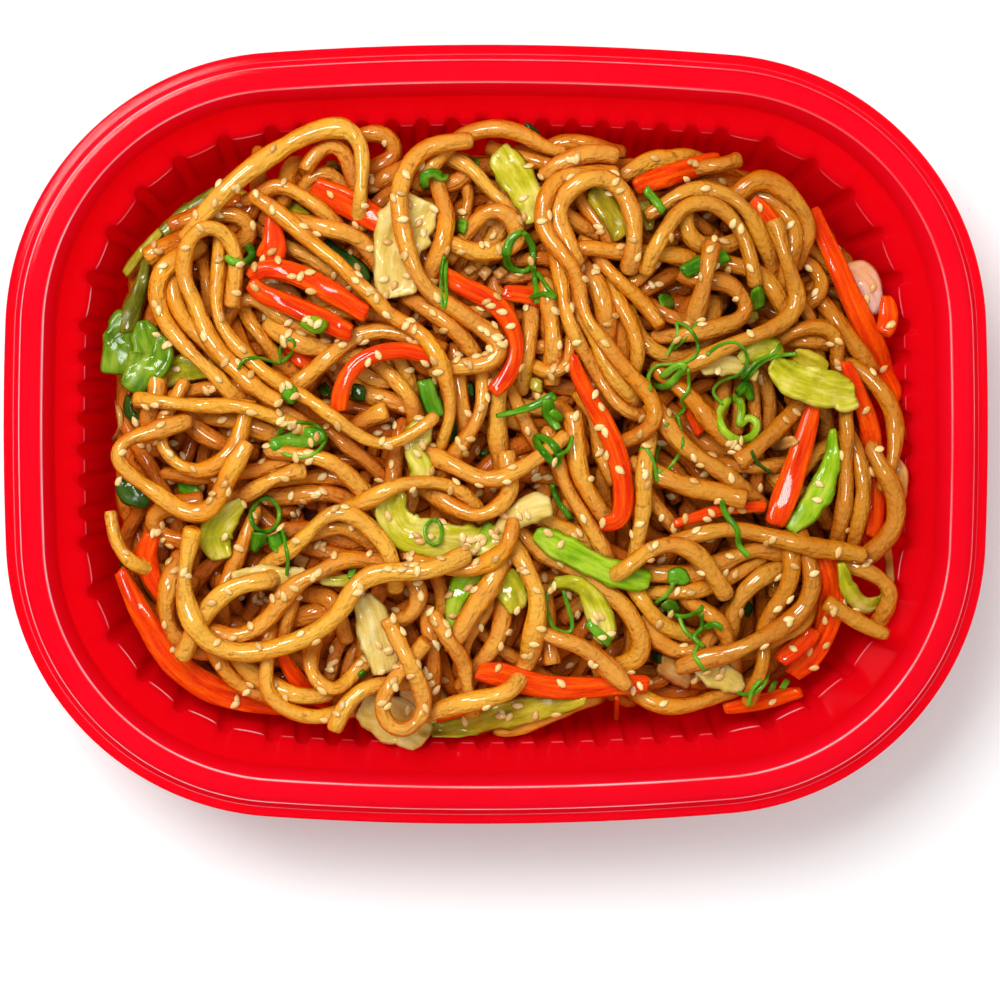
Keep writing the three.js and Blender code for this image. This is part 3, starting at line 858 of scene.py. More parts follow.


# ---------------------------------------------------------------- the heap's strands

# The strands that show on top of the heap, one by one: a layer, then the places in
# millimetres that the strand passes. A starred place is a cut end that shows; any other end
# runs on and dips under its neighbours.
TOP_ROUTES = """
3 -77,55 -73,60 -68,65 -63,69 -57,73 -50,77 -44,79 -39,79 -36,76 -35,71 -35.5,65 -36,59
2 -50,68* -47,73 -43,75.5 -40,74 -38.5,70 -38.5,64
1 -50,62 -49,65.5 -45,68 -41,67 -38.5,63
1 -50,68 -52,71.5 -54.5,69 -55,64
2 -60,63 -57,65 -53,63 -48,60 -43,56
2 -56,56 -50,55 -44,54.5 -38,52 -34,49 -31,44
3 -58,58 -54,55 -50,51 -45,47 -40,43 -36,38 -31,33 -26,29.5 -21,27 -17,22 -14.5,17 -13,11 -13,6 -14,2
2 -82,46 -87,42 -88,36 -86.5,30 -82,24 -77,19.5 -72,15 -67,11
2 -84,41 -84,35 -81,30 -77,25 -73,20.5 -68,15
3 -68,40 -67.5,44 -68,48 -70.5,52 -75,54 -79,51.5 -81,46 -81,40 -78.5,35 -76,30 -74,25 -70,20 -66,15.5 -62,12
3 -72,46 -72,41 -73,35 -72.5,29 -69.5,24.5 -65,20 -61,16 -56,13 -51,10.5 -47,8 -42,4.5 -37,0.5 -32,-2 -27,-2 -22,1
1 -77,49 -76,43 -75,37
1 -91,45.6* -88,47.5 -83,49.5 -79,52
0 -85,53.5* -82,55 -77,56 -72,58
1 -75,56 -71,57.5 -67,57.5 -64,55 -64,51 -67,49
1 -62,67 -62,61 -63,57 -66,55
1 -70,31 -68.5,34.5 -65,35.5 -61,34 -58,30 -54,28
1 -65,31 -63,27 -60,24 -56,20
1 -54,26 -50,23 -46,23 -41,21.5
2 -52,13 -48,16.5 -44,20 -40,24 -35,26.5 -29,27 -24,25.5 -20,24
1 -36,78 -31,78.5 -27,76 -26,72 -29,69.5 -34,66
1 -35,64 -29,66.5 -24,69
1 -34,57 -30,61 -26,64
3 -14,75 -19,74 -23,70 -25.5,64 -26,58 -24.5,51 -23,45 -20,39 -16,35 -11,32 -6,28.5 -2,26 0.5,22 -1.5,19 -6,18 -11,17.5
2 11,75 6,78 0,79.5 -6,78.5 -11,76 -14,72.5 -17,69
1 -13,72 -9,70 -5,66.5 -1,62 3,58
2 -10,50 -7.5,53.5 -4,57 0,58.5 4,57 5.8,53 4,49 -1,47 -6,47 -11,49 -14,51
2 -15,61 -13.5,56 -14,51 -16,46 -18,41
0 -13,66 -9,67 -7,63 -8,58
1 4,73 9,71.5 14,70 19,69.5*
2 18,70 23,72.5 27,73.3 31,72*
0 11,74 17,76 22,76.5 27,74.5
0 18,68 25,69 31,69.5 37,70
1 31,66.5 35,69 39,71.2 45,71.5 51,70.5
3 24,67.5 19,67.5 14,65.5 11,60 10.8,55 13,50.5 17,46.5 20,41 20.5,35 22,30 26,24.5 30,19 35,14 39,9.5 40.5,4.5 38,0.5 33,-1.5
3 17,50 14.8,55 15.5,60 18,64 22,66.5 27,66.5 31,64 33.5,59.5 34.8,54 34.5,48
2 16,42 17,36 18,30 21,24 24.5,18 28,12.5 32,8 36,6
2 20,45 18,40 18.5,34 21,28 25,21.5 29,15 33,10
1 20,64 22,60 25,55.5 28,51.5
1 17,57 22,53.5 27,50.5
2 20,46.5 25,48 31,47 37,47.3 43,46.6 49,45 52,43
3 40,48 43.5,54 47,58.5 52,60.3 57,59.3 61,56 63.5,51 65,45.5
2 48.5,58 48.3,53 51,49 56,47.8 61,49 64,52
2 44,60 49,63 55,63.5 60,61.5 64.5,57.5 68,52 71,46.5 71.5,42
1 43,60 48,62.5 53,66 58,66.5 63,64.5 65,61
2 63,63 66.5,66.3 71,66 75,62.5 79,58 81,53 79.5,50
2 67,62 71,61.5 75,57 77,51.5 76,46.5 74.5,42
3 73,49 74.5,44 76.5,39 77.5,34.5 75,30.5 70,27 64,25 57,22 52,19.5
1 77,50 81,49.5 84,47
1 78,46.5 82,45 85,41 84.5,36 81,33
2 57,45 62,44 67,42.5 71,39 73.5,34
3 53.5,43 52.5,38 51,32.5
2 54,41.5 59,39.5 63,36.5 65,32.5 62,29.2 57,28 51,27 46,26
1 53,70 58,70 63.5,71.8*
2 22,44.5 25,40 27.5,35 28,30 27.5,26
1 41,46 37,42 33,37.5
1 37,37 42,40 47,42.5
2 26,45 29,41.5 33,38 37.5,34 41,29.5 42,27.5*
2 31,34 33.5,29 35.8,24 36,19 34,15
1 30,28 32,23 33,18
1 10,34 9,28 8,22 8,17
1 13,33 14,27 15,21.5 14,18
1 8,18 12,15.5 17,17.5 18,22
1 35,29 37.5,25 41,21 46,19.3 51,20.5 54.3,24 55,29
1 43,31.5 48,28.5 52,30
2 -19,33 -14,30 -10,26 -7,22 -4.5,17.5 -3.5,12.5 -4.5,7 -7.5,1.5 -12,-5
2 -10,30 -5,32 0.5,34.5*
1 -11,17 -10,11 -9,5
0 -31,18 -26,14.5 -22.5,9 -22.5,3
1 -38,2 -33,5 -28.5,6.5*
2 -85,10 -79,11.8 -73,12.3 -66,12 -60,10 -55,7 -50,3
3 -87,8.5 -81,8 -75,7.5 -69,8 -63,7 -57,5 -51,2
2 -88,14 -88,9.5 -91,6 -90,2
3 -84,8 -87,3 -87,-2 -84.5,-6 -80,-9 -75,-9 -71,-6.5 -67,-2 -66,3
4 -86,2 -91,0.5 -96,-1 -98.5,-5 -94.5,-10 -88,-14.5 -83,-18.5 -78,-20.5 -74,-19 -71.5,-14.5 -69,-9 -66,-4 -64.5,-1.5*
1 -80,5 -77,1 -73,-2 -69,-3
2 -72,4 -66,3.5 -61,1 -56,0
2 -80,-10.5 -74,-11 -68,-9.8 -62,-9 -57,-7 -52,-6
3 -66.5,-16 -62,-13.5 -58,-10.8 -54,-9.3 -50,-8*
3 -53,-5 -49,-5.5 -44,-6 -40,-9 -37,-12.5 -34,-16
1 -54,-12 -48,-11 -42,-11 -37,-13.5
1 -53,-15 -46,-14.5 -40,-15 -35,-17.5
2 -83,-18 -88,-19 -90.3,-22.5 -88,-26 -83,-27.3 -80,-27.5
2 -100,-19.5* -99.5,-25 -97.5,-30 -93,-33.5 -88,-35 -84,-36.5
4 -78.5,-23* -79.5,-28 -80.7,-34 -81,-40 -79.5,-46 -77,-50.5 -73,-54 -67,-55.7 -60,-55 -53,-53 -47,-50 -42,-46 -39,-41.5 -36.5,-37.5 -32,-35 -26,-34.5 -20,-34.5 -15,-33
2 -84,-36 -86,-42 -85.5,-48 -83,-53.5 -79,-56.3 -75,-55
2 -65,-25 -67,-29.5 -69,-35
3 -62,-37 -68,-38.5 -73,-42 -76,-46.5 -78.5,-51
1 -71,-43 -70.5,-48 -72,-51
3 -73,-51 -68,-52 -63,-50.5 -59,-47 -56,-43 -54,-39.5 -50,-36.5 -45,-34.5 -40,-31.5 -35,-32
3 -53,-41 -55,-46 -57,-51 -57,-53
3 -56,-31.5 -51,-27 -47,-22.5 -42,-19 -37,-20 -33,-24 -29,-28 -28,-33
2 -45,-24 -41,-22.5 -37,-24.5 -32,-28
3 -36.5,-18 -32,-15.5 -27,-12.8 -21,-11.8 -15,-12 -10.5,-14 -7,-18
3 -19,-3.5 -13.5,-6.5 -8.5,-9.8 -3,-11.7 2,-10.5 7,-7.5 12,-4
3 2.5,-11 3,-15 0,-18.5 -5,-20.5 -10,-19.3 -14.5,-16.5
1 -25,-2 -27,-6 -27.5,-12
1 -39,-3 -34,-6.5 -29,-11
3 -20,-31 -15,-33 -9,-34.2 -3,-33.2 1.5,-30 2,-25
2 -31,-35.5 -25,-36 -21,-38.5 -19.7,-42.5 -22,-46.5 -27,-48.5
1 -52,-41 -46,-40.8 -42,-43 -41,-47
1 -51,-47 -46,-46 -42,-44.5
1 -17,-35 -14.7,-40 -15,-46 -17,-51
3 0,-34 -3,-39.5 -6.5,-44 -10,-49
3 -15,-71 -10,-69 -4,-68 1,-66.5 5.5,-63 8.3,-57.5 9.5,-51 10,-44.5 9,-38.5 6,-33 2.5,-28
2 6,-26.5 12,-31 18,-34 24,-37.5 29,-41 33,-45 36,-50 37.5,-54.5 36,-58.5 31.5,-60.5
1 16,-24 22,-27 27,-30 32,-33
2 36,-40 38.5,-45 42,-49.5 47,-51.5
2 14.5,-5 16.5,-11 19.5,-17 23,-22.5 25.5,-27
2 19.5,-1 20,-7 21.5,-13 25.5,-18.5
1 14,9 18,6 20.5,1
1 24,6 26,0 28,-6
3 38,-3 37,-9 37,-16 36.5,-23 35.5,-29
3 33,-34 37,-30 42,-27.8 47,-28 51.5,-31 55,-36
2 38,-15 42,-20 46.5,-25.5*
3 40,-10 45,-12 50,-13.7 56,-14.5 63.5,-17*
3 42,3 46,-1.5 51,-5.5 56,-8.5 60,-11.5 64,-15
2 45,14 50,9.5 54,4 59,-1.5
1 58,-7 65,-7.5 74,-9
2 67,-3 72,1 76,4.7 80.5,8.5*
3 51,-26 57,-24.3 63,-24.5 69,-26 75,-28 82,-29.7 88,-30 95,-31.5*
2 43,-36 50,-36.5 56,-34.5 62,-31.5 68,-29.5 76,-30
2 45,-41 51,-41 57,-38.5 63,-35.5 69,-32.5 74,-31
2 60,-50 61,-44.5 64,-40 68,-36 73,-33.5
3 76,-31 76,-37 73.5,-42 70,-47 68.5,-52.5 69,-58 67,-64
3 79,-31 81.5,-36 81.5,-41.5 79,-46 74,-49.5 68,-52.5 60,-56 53,-58
2 83,-44 82,-48 76,-52 70,-55 64,-58.5 57,-61
3 53,-45 57,-47.5 59,-51.5 60,-56
2 41,-52.5 44.5,-56 49,-57.5 53,-55
2 36,-67 40,-70 46,-71 52,-70 58,-68 64,-66
1 6,-76 13,-73.5 21,-69.5
3 14,-51.5 20,-53.5 25,-57 29,-61 33.5,-65.5*
2 12,-46 12.5,-52 14,-59.5*
2 1,-46 0.5,-51 -2,-56 -6,-61
1 -4,-47 -8,-52 -9,-57
3 -14,-51 -10.5,-55.5 -8,-60.5 -7.5,-66
2 -17.5,-50 -16.7,-56 -17,-64
4 -26,-53 -23,-59 -20.3,-65 -19.2,-70 -21.5,-74.5 -26,-76.2 -29.7,-73.5 -30.7,-69 -29,-64.5 -25,-60.5 -23,-58
3 -42.7,-76* -41,-71 -37.5,-67 -33,-64 -28.5,-64
2 -47.5,-52 -49,-58 -48.5,-63 -45,-66.5 -41,-66 -38,-62.5
2 -73.5,-55 -71.5,-60 -67.5,-64 -62,-66.5
2 -68,-57 -65,-61 -60.5,-64.5 -55,-66.5 -50,-66.5
3 -59,-55 -60,-60.5 -60.3,-65 -57,-69 -51.5,-72 -46,-73 -41,-72
3 90,-46.5 94,-49 98,-51 101,-52*
2 90,-33 95,-34.5 99.5,-37 103,-41 102,-43.5
2 75,25.5 79.5,28 84.5,28.5 88,25 89,20.5 91.5,16
1 79,25 85,25 88.5,22 91,17
1 85,34 88,29.5 91,26 94,22
1 79,34 82,30 83,26
2 94,16 98,13.5 101.5,9.5 103.5,4 103.5,-2 102,-8
2 92,7 91,1 91.5,-5 91,-11 90.5,-17 90,-24
2 93,-5 95,-11 95.2,-17 93.5,-23
3 100,-9 102.5,-14 103.5,-20 102,-26 98,-30
1 86,-3 81,-6 78,-10
1 77,-13 81,-15 84,-19
1 0,10 -0.5,3 0,-3 1,-8
"""


@dataclass
class Ground:
    """The level of some pieces seen from above, on a grid of a millimetre or so."""

    half_length: float = 127.0
    half_width: float = 101.0
    step: float = 1.5
    empty: float = -50.0
    levels: np.ndarray = field(init=False)

    def __post_init__(self) -> None:
        """Starts with nothing anywhere."""
        size = (2 * self.half_length / self.step + 2, 2 * self.half_width / self.step + 2)
        self.levels = np.full((int(size[0]), int(size[1])), self.empty)

    def drop_on(self, piece: bpy.types.Object) -> None:
        """Takes up a piece's level where a ray from above hits it."""
        tree = tree_of(piece)
        for i, j in np.ndindex(self.levels.shape):
            x, y = i * self.step - self.half_length, j * self.step - self.half_width
            hit = tree.ray_cast(Vector((x * MM, y * MM, DROP_FROM)), DOWN)[0]
            if hit is not None:
                self.levels[i, j] = max(self.levels[i, j], hit.z / MM)

    def cover(self, points: np.ndarray, radius: float) -> None:
        """Takes up the level of balls of one radius about points."""
        i = ((points[:, 0] + self.half_length) / self.step + 0.5).astype(int)
        j = ((points[:, 1] + self.half_width) / self.step + 0.5).astype(int)
        wide = int(radius / self.step)
        for di in range(-wide, wide + 1):
            for dj in range(-wide, wide + 1):
                rise = radius**2 - (di * di + dj * dj) * self.step**2
                if rise < 0:
                    continue
                u = np.clip(i + di, 0, self.levels.shape[0] - 1)
                v = np.clip(j + dj, 0, self.levels.shape[1] - 1)
                np.maximum.at(self.levels, (u, v), points[:, 2] + math.sqrt(rise))

    def envelope(self, reach: float) -> "Ground":
        """A smooth level that hangs over the highest things within a reach."""
        made = Ground(self.half_length, self.half_width, self.step, self.empty)
        wide = int(reach / self.step)
        made.levels = np.maximum(self.levels, 0)
        for join, axis in ((np.max, 0), (np.max, 1), (np.mean, 0), (np.mean, 1)):
            near = [np.roll(made.levels, k, axis) for k in range(-wide, wide + 1)]
            made.levels = join(near, axis=0)
        return made

    def at(self, x: np.ndarray, y: np.ndarray) -> np.ndarray:
        """The level at points, between the grid's own."""
        u = np.clip((x + self.half_length) / self.step, 0, self.levels.shape[0] - 1.001)
        v = np.clip((y + self.half_width) / self.step, 0, self.levels.shape[1] - 1.001)
        i, j = u.astype(int), v.astype(int)
        a, b = u - i, v - j
        low = self.levels[i, j] * (1 - a) + self.levels[i + 1, j] * a
        high = self.levels[i, j + 1] * (1 - a) + self.levels[i + 1, j + 1] * a
        return low * (1 - b) + high * b


@dataclass(frozen=True)
class Route:
    """A strand's route seen from above."""

    layer: int
    places: np.ndarray
    cut_start: bool
    cut_end: bool

    @staticmethod
    def read(text: str) -> list["Route"]:
        """Routes from lines of a layer and places, a starred place being a visible cut."""
        found = []
        for line in text.strip().splitlines():
            layer, *words = line.split()
            places = np.array([[float(v) for v in w.strip("*").split(",")] for w in words])
            found.append(Route(int(layer), places, words[0][-1] == "*", words[-1][-1] == "*"))
        return found

    def line(self, step: float, run_on: float = 7.0, dip: float = 5.0) -> np.ndarray:
        """The route with evenly spaced points, and how far each stands from its layer.

        Args:
            step: The spacing of the points.
            run_on: How far an end that doesn't show runs on.
            dip: How far such an end dips.

        Returns:
            One row a point: X, Y and the height above the layer.
        """
        places, drop = self.places, np.zeros(len(self.places))
        if not self.cut_start:
            places = np.vstack([self.past(places[1], places[0], run_on), places])
            drop = np.r_[-dip, drop]
        if not self.cut_end:
            places = np.vstack([places, self.past(places[-2], places[-1], run_on)])
            drop = np.r_[drop, -dip]
        return curve(np.column_stack([places, drop]), step)

    @staticmethod
    def past(before: np.ndarray, last: np.ndarray, run_on: float) -> np.ndarray:
        """The place that a hidden end runs on to, past its last two places."""
        on = last - before
        return last + on / np.linalg.norm(on) * run_on


@dataclass
class StrandBed:
    """Strands of noodle that settle on each other, on the core and against the tray."""

    tray: Tray
    ground: Ground
    blocks: np.ndarray
    core_depth: float = 14.0
    diameter: float = 4.5
    step: float = 2.4
    stiffness: float = 0.2
    fall: float = 0.2
    late: float = 0.8
    late_fall: float = 0.3
    hold: float = 0.12
    hold_level: float = 0.03
    rim_level: float = 37.0
    low_level: float = 12.0
    look: float = 1.2
    look_every: int = 5
    push: float = 0.32
    block_push: float = 0.35
    block_radius: float = 0.7
    wall_margin: float = 1.15
    free_inset: float = 29.5
    rounds: int = 300
    strands: list[np.ndarray] = field(default_factory=list)
    held: list[bool] = field(default_factory=list)

    def add(self, line: np.ndarray, level: float, held: bool) -> None:
        """Lays a strand.

        Args:
            line: Its points, as X, Y and a height above its level.
            level: Its level above the heap's own.
            held: Whether it keeps to its route seen from above.
        """
        base = self.ground.at(line[:, 0], line[:, 1])
        base = np.maximum(base, self.rim_level if held else self.low_level)
        self.strands.append(np.column_stack([line[:, :2], base + level + line[:, 2]]))
        self.held.append(held)

    def settle(self) -> list[np.ndarray]:
        """Lets every strand fall and bend until it rests.

        Returns:
            The settled strands.
        """
        sizes = [len(s) for s in self.strands]
        points = np.vstack(self.strands)
        owner = np.repeat(np.arange(len(sizes)), sizes)
        held = np.repeat(np.array(self.held), sizes)
        route = points[held].copy()
        links = np.flatnonzero(owner[1:] == owner[:-1])
        rest = np.linalg.norm((points[links + 1] - points[links])[:, :2], axis=1)
        bends = np.flatnonzero(owner[2:] == owner[:-2])
        curl = self.curl_of(points, bends)
        pull = (self.hold, self.hold, self.hold_level)
        for turn in range(self.rounds):
            late = turn > self.rounds * self.late
            points[~held, 2] -= self.fall * (self.late_fall if late else 1.0)
            self.hold_bends(points, bends, curl)
            for odd in (0, 1):
                self.hold_lengths(points, links[odd::2], rest[odd::2])
            points[held] += (route - points[held]) * pull
            if turn % self.look_every == 0:
                pairs = self.near_pairs(points, owner)
                near_blocks = self.near_blocks(points)
            self.part(points, pairs)
            self.keep_off_blocks(points, near_blocks, held)
            self.keep_inside(points, np.where(held, 0.0, self.free_inset))
        return np.split(points, np.cumsum(sizes)[:-1])

    @staticmethod
    def curl_of(points: np.ndarray, bends: np.ndarray) -> np.ndarray:
        """How far each middle point stands left of its neighbours' chord at rest."""
        a, b, c = points[bends, :2], points[bends + 1, :2], points[bends + 2, :2]
        return ((b - (a + c) / 2) * left_of(unit(c - a))).sum(axis=1)

    def hold_bends(self, points: np.ndarray, bends: np.ndarray, curl: np.ndarray) -> None:
        """Draws each strand back towards its own curl, and flat in height."""
        a, b, c = points[bends], points[bends + 1], points[bends + 2]
        wanted = (a + c) / 2
        wanted[:, :2] += left_of(unit((c - a)[:, :2])) * curl[:, None]
        move = (wanted - b) * self.stiffness
        np.add.at(points, bends + 1, move)
        np.add.at(points, bends, -move / 2)
        np.add.at(points, bends + 2, -move / 2)

    @staticmethod
    def hold_lengths(points: np.ndarray, links: np.ndarray, rest: np.ndarray) -> None:
        """Keeps each stretch of a strand at its own length."""
        gap = points[links + 1] - points[links]
        size = np.maximum(np.linalg.norm(gap, axis=1), TINY)
        move = gap * ((size - rest) / size / 2)[:, None]
        points[links] += move
        points[links + 1] -= move

    def near_pairs(self, points: np.ndarray, owner: np.ndarray) -> tuple[np.ndarray, np.ndarray]:
        """Pairs of points of different strands, or far apart on one, that may touch."""
        first, second = self.close(points, points, self.diameter + self.look)
        keep = first < second
        first, second = first[keep], second[keep]
        same = (owner[first] == owner[second]) & (second - first < 5)
        return first[~same], second[~same]

    def near_blocks(self, points: np.ndarray) -> tuple[np.ndarray, np.ndarray]:
        """Pairs of a strand's point and a point of a vegetable piece that may touch."""
        return self.close(points, self.blocks, self.diameter / 2 + self.block_radius + self.look)

    @staticmethod
    def close(points: np.ndarray, others: np.ndarray, reach: float) -> tuple[np.ndarray, np.ndarray]:
        """Every pair, one from each set, that lies within a reach.

        Args:
            points: The first set.
            others: The second set.
            reach: The largest distance.

        Returns:
            The numbers of the first and of the second of each pair.
        """
        low = np.minimum(points.min(axis=0), others.min(axis=0)) - reach
        spread = np.array([1, 1000, 1000000])
        cell = np.floor((points - low) / reach).astype(np.int64) @ spread
        other_cell = np.floor((others - low) / reach).astype(np.int64) @ spread
        order = np.argsort(other_cell, kind="stable")
        ranked = other_cell[order]
        found_a, found_b = [], []
        for offset in np.ndindex(3, 3, 3):
            wanted = cell + (np.array(offset) - 1) @ spread
            start = np.searchsorted(ranked, wanted, "left")
            count = np.searchsorted(ranked, wanted, "right") - start
            a = np.repeat(np.arange(len(points)), count)
            within = np.arange(count.sum()) - np.repeat(np.cumsum(count) - count, count)
            b = order[np.repeat(start, count) + within]
            near = ((points[a] - others[b]) ** 2).sum(axis=1) < reach * reach
            found_a.append(a[near])
            found_b.append(b[near])
        return np.concatenate(found_a), np.concatenate(found_b)

    @staticmethod
    def pushed(gap: np.ndarray, least: float, share: float) -> np.ndarray:
        """How far each gap that is too short is made longer at once."""
        size = np.maximum(np.linalg.norm(gap, axis=1), TINY)
        return gap * (np.maximum(least - size, 0) / size * share)[:, None]

    def part(self, points: np.ndarray, pairs: tuple[np.ndarray, np.ndarray]) -> None:
        """Pushes touching strands apart."""
        first, second = pairs
        move = self.pushed(points[second] - points[first], self.diameter, self.push)
        np.add.at(points, first, -move)
        np.add.at(points, second, move)

    def keep_off_blocks(
        self, points: np.ndarray, pairs: tuple[np.ndarray, np.ndarray], held: np.ndarray
    ) -> None:
        """Pushes strands out of the vegetable pieces, and those that don't show under them."""
        first, second = pairs
        gap = points[first] - self.blocks[second]
        move = self.pushed(gap, self.diameter / 2 + self.block_radius, self.block_push)
        move[:, :2] *= 0.5
        move[:, 2] = np.where(held[first], move[:, 2], -np.abs(move[:, 2]))
        np.add.at(points, first, move)

    def keep_inside(self, points: np.ndarray, least: np.ndarray) -> None:
        """Keeps strands above the core and the floor, clear of the wall and a least inset."""
        radius = self.diameter / 2
        core = self.ground.at(points[:, 0], points[:, 1]) - self.core_depth
        points[:, 2] = np.maximum(points[:, 2], np.maximum(core, self.tray.floor_height) + radius)
        inset = self.tray.outline.inset(points[:, 0], points[:, 1])
        wall = self.tray.wall_inset(points[:, 2]) + radius * self.wall_margin
        move = np.clip(np.maximum(wall, least) - inset, 0, 3)
        size = np.maximum(np.hypot(points[:, 0], points[:, 1]), 1)
        points[:, :2] -= points[:, :2] / size[:, None] * move[:, None]


class Layer(Enum):
    """How fine a layer of strands is swept: sides round, and ring spacing in millimetres."""

    TOP = (14, 1.0)
    LOW = (8, 1.9)


@dataclass
class Noodles:
    """The heap's noodles: a core painted dark as shade, and strands that lie over it."""

    tray: Tray
    blocks: np.ndarray
    relief: Ground
    seed: int = 7
    bundles: int = 30
    tries: int = 10
    cells: int = 60
    cover: float = 6.0
    half_length: float = 94.0
    half_width: float = 72.0
    edge_level: float = 24.0
    first_level: float = -13.0
    level_rise: float = 7.0
    layer_step: float = 3.6
    lowest_layer: float = -6.0
    strand_radius: float = 2.2
    strand_gap: float = 1.04
    shade_from: float = 3.0
    shade_to: float = 11.0
    shade_reach: float = 4.8
    core_draw: float = 0.14

    def build(self) -> list[bpy.types.Object]:
        """Makes the core and the strands.

        Returns:
            The pieces.
        """
        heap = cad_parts["noodle_heap"]
        ground = Ground()
        ground.drop_on(heap)
        bed = StrandBed(self.tray, ground, self.blocks)
        rng = np.random.default_rng(self.seed)
        self.lay_bundles(bed, rng)
        hidden = len(bed.strands)
        for route in Route.read(TOP_ROUTES):
            level = self.lowest_layer + route.layer * self.layer_step
            bed.add(route.line(bed.step), level, held=True)
        settled = bed.settle()
        LOG.info("%d hidden and %d shown strands", hidden, len(settled) - hidden)
        for strand in settled:
            self.relief.cover(self.eased(strand, self.relief.step), self.strand_radius)
        above = self.relief.envelope(self.shade_reach)
        core = self.core(heap, bed.core_depth)
        low = self.sweep("noodles_low", settled[:hidden], Layer.LOW, above, rng)
        top = self.sweep("noodles_top", settled[hidden:], Layer.TOP, above, rng)
        # The core's dark finish paints the shade between the strands.
        dress(core, ShadedCore(), "sauce", "noodle_heap")
        dress(low, NoodleGlaze("noodle_glaze_deep", coat=0.2), "noodle", "noodle_heap")
        dress(top, NoodleGlaze(), "noodle", "noodle_heap")
        return [core, low, top]

    def lay_bundles(self, bed: StrandBed, rng: np.random.Generator) -> None:
        """Lays bundles of strands under the shown ones, each where the fewest lie so far."""
        covered = np.zeros((self.cells, self.cells))
        for number in range(self.bundles):
            best = None
            for _ in range(self.tries):
                angle = rng.uniform(0, 2 * math.pi)
                share = math.sqrt(rng.uniform(0.0, 1.0))
                x, y = math.cos(angle) * self.half_length * share, math.sin(angle) * self.half_width * share
                start = np.array([x, y])
                if bed.ground.at(start[:1], start[1:])[0] < self.edge_level:
                    continue
                path = self.wander(bed, start, rng)
                places = (path / self.cover).astype(int) + self.cells // 2
                places = np.clip(places, 0, self.cells - 1)
                load = covered[places[:, 0], places[:, 1]].mean()
                if best is None or load < best[0]:
                    best = (load, path, places)
            _, path, places = best
            width = int(rng.integers(1, 4))
            np.add.at(covered, (places[:, 0], places[:, 1]), width)
            level = self.first_level + self.level_rise * number / self.bundles
            self.lay_bundle(bed, path, width, level, rng)

    def lay_bundle(
        self, bed: StrandBed, path: np.ndarray, width: int, level: float, rng: np.random.Generator
    ) -> None:
        """Lays strands side by side along a path, each drifting a little from the next."""
        left = left_of(unit(np.gradient(path, axis=0)))
        for k in range(width):
            drift = np.cumsum(rng.normal(0, 0.16, len(path)))
            shift = (k - (width - 1) / 2) * bed.diameter * self.strand_gap + drift
            strand = curve(path + left * shift[:, None], bed.step)
            flat = np.column_stack([strand, np.zeros(len(strand))])
            bed.add(flat[int(rng.integers(0, 6)) :], level + rng.uniform(0, 1.0), held=False)

    @staticmethod
    def wander(bed: StrandBed, start: np.ndarray, rng: np.random.Generator) -> np.ndarray:
        """A curling path that keeps inside the heap.

        Args:
            bed: The bed that it lies in, whose ground falls away past the heap's edge.
            start: Where it starts.
            rng: The source of its heading and its curls.

        Returns:
            The path's points in the plane.
        """
        heading = rng.uniform(0, 2 * math.pi)
        place = start.copy()
        made = [place.copy()]
        left, bend = 0.0, 0.0
        for _ in range(int(rng.uniform(180, 380) / bed.step)):
            if left <= 0:
                left = rng.uniform(14, 46)
                bend = rng.choice([-1, 1]) / rng.uniform(9, 45) if rng.uniform() < 0.85 else 0.0
            ahead = place + 7 * np.array([math.cos(heading), math.sin(heading)])
            inset = float(bed.tray.outline.inset(place[0], place[1]))
            turn = bend
            if inset < 37 or bed.ground.at(ahead[:1], ahead[1:])[0] < 22:
                off = (math.atan2(-place[1], -place[0]) - heading + math.pi) % (2 * math.pi) - math.pi
                turn = math.copysign(1 / 9, off) if abs(off) > 1.2 else bend * 0.3
            heading += turn * bed.step
            left -= bed.step
            place = place + bed.step * np.array([math.cos(heading), math.sin(heading)])
            made.append(place.copy())
        return np.array(made)

    def sweep(
        self, name: str, strands: list[np.ndarray], layer: Layer, above: Ground, rng: np.random.Generator
    ) -> bpy.types.Object:
        """Sweeps an uneven, slightly square section along each strand into one piece.

        Args:
            name: The piece's name.
            strands: The settled strands.
            layer: How fine the sweep is.
            above: The level of the strands on top, which tells how deep a strand lies and so how much painted shade it
                gets.
            rng: The source of unevenness.

        Returns:
            The piece.
        """
        sides, spacing = layer.value
        points, faces, tones, shade_depths, grains = [], [], [], [], []
        first = 0
        for strand in strands:
            line = self.eased(strand, spacing)
            ring, grain = self.rings(line, sides, rng)
            points.append(ring.reshape(-1, 3))
            grains.append(grain.reshape(-1, 3))
            faces += tube_faces(len(line), sides, first)
            tones.append(np.full(len(line) * sides, rng.uniform(0, 1)))
            # Painted shade: how far the strand lies under the strands on top, from 0 to 1.
            deep = above.at(line[:, 0], line[:, 1]) - line[:, 2] - self.strand_radius
            deep = (deep - self.shade_from) / (self.shade_to - self.shade_from)
            shade_depths.append(np.repeat(np.clip(deep, 0, 1), sides))
            first += len(line) * sides
        piece = mesh_piece(name, np.vstack(points), faces)
        paint(piece, "tone", np.concatenate(tones))
        paint(piece, "depth", np.concatenate(shade_depths))
        paint(piece, "grain", np.vstack(grains))
        face_out(piece)
        return piece

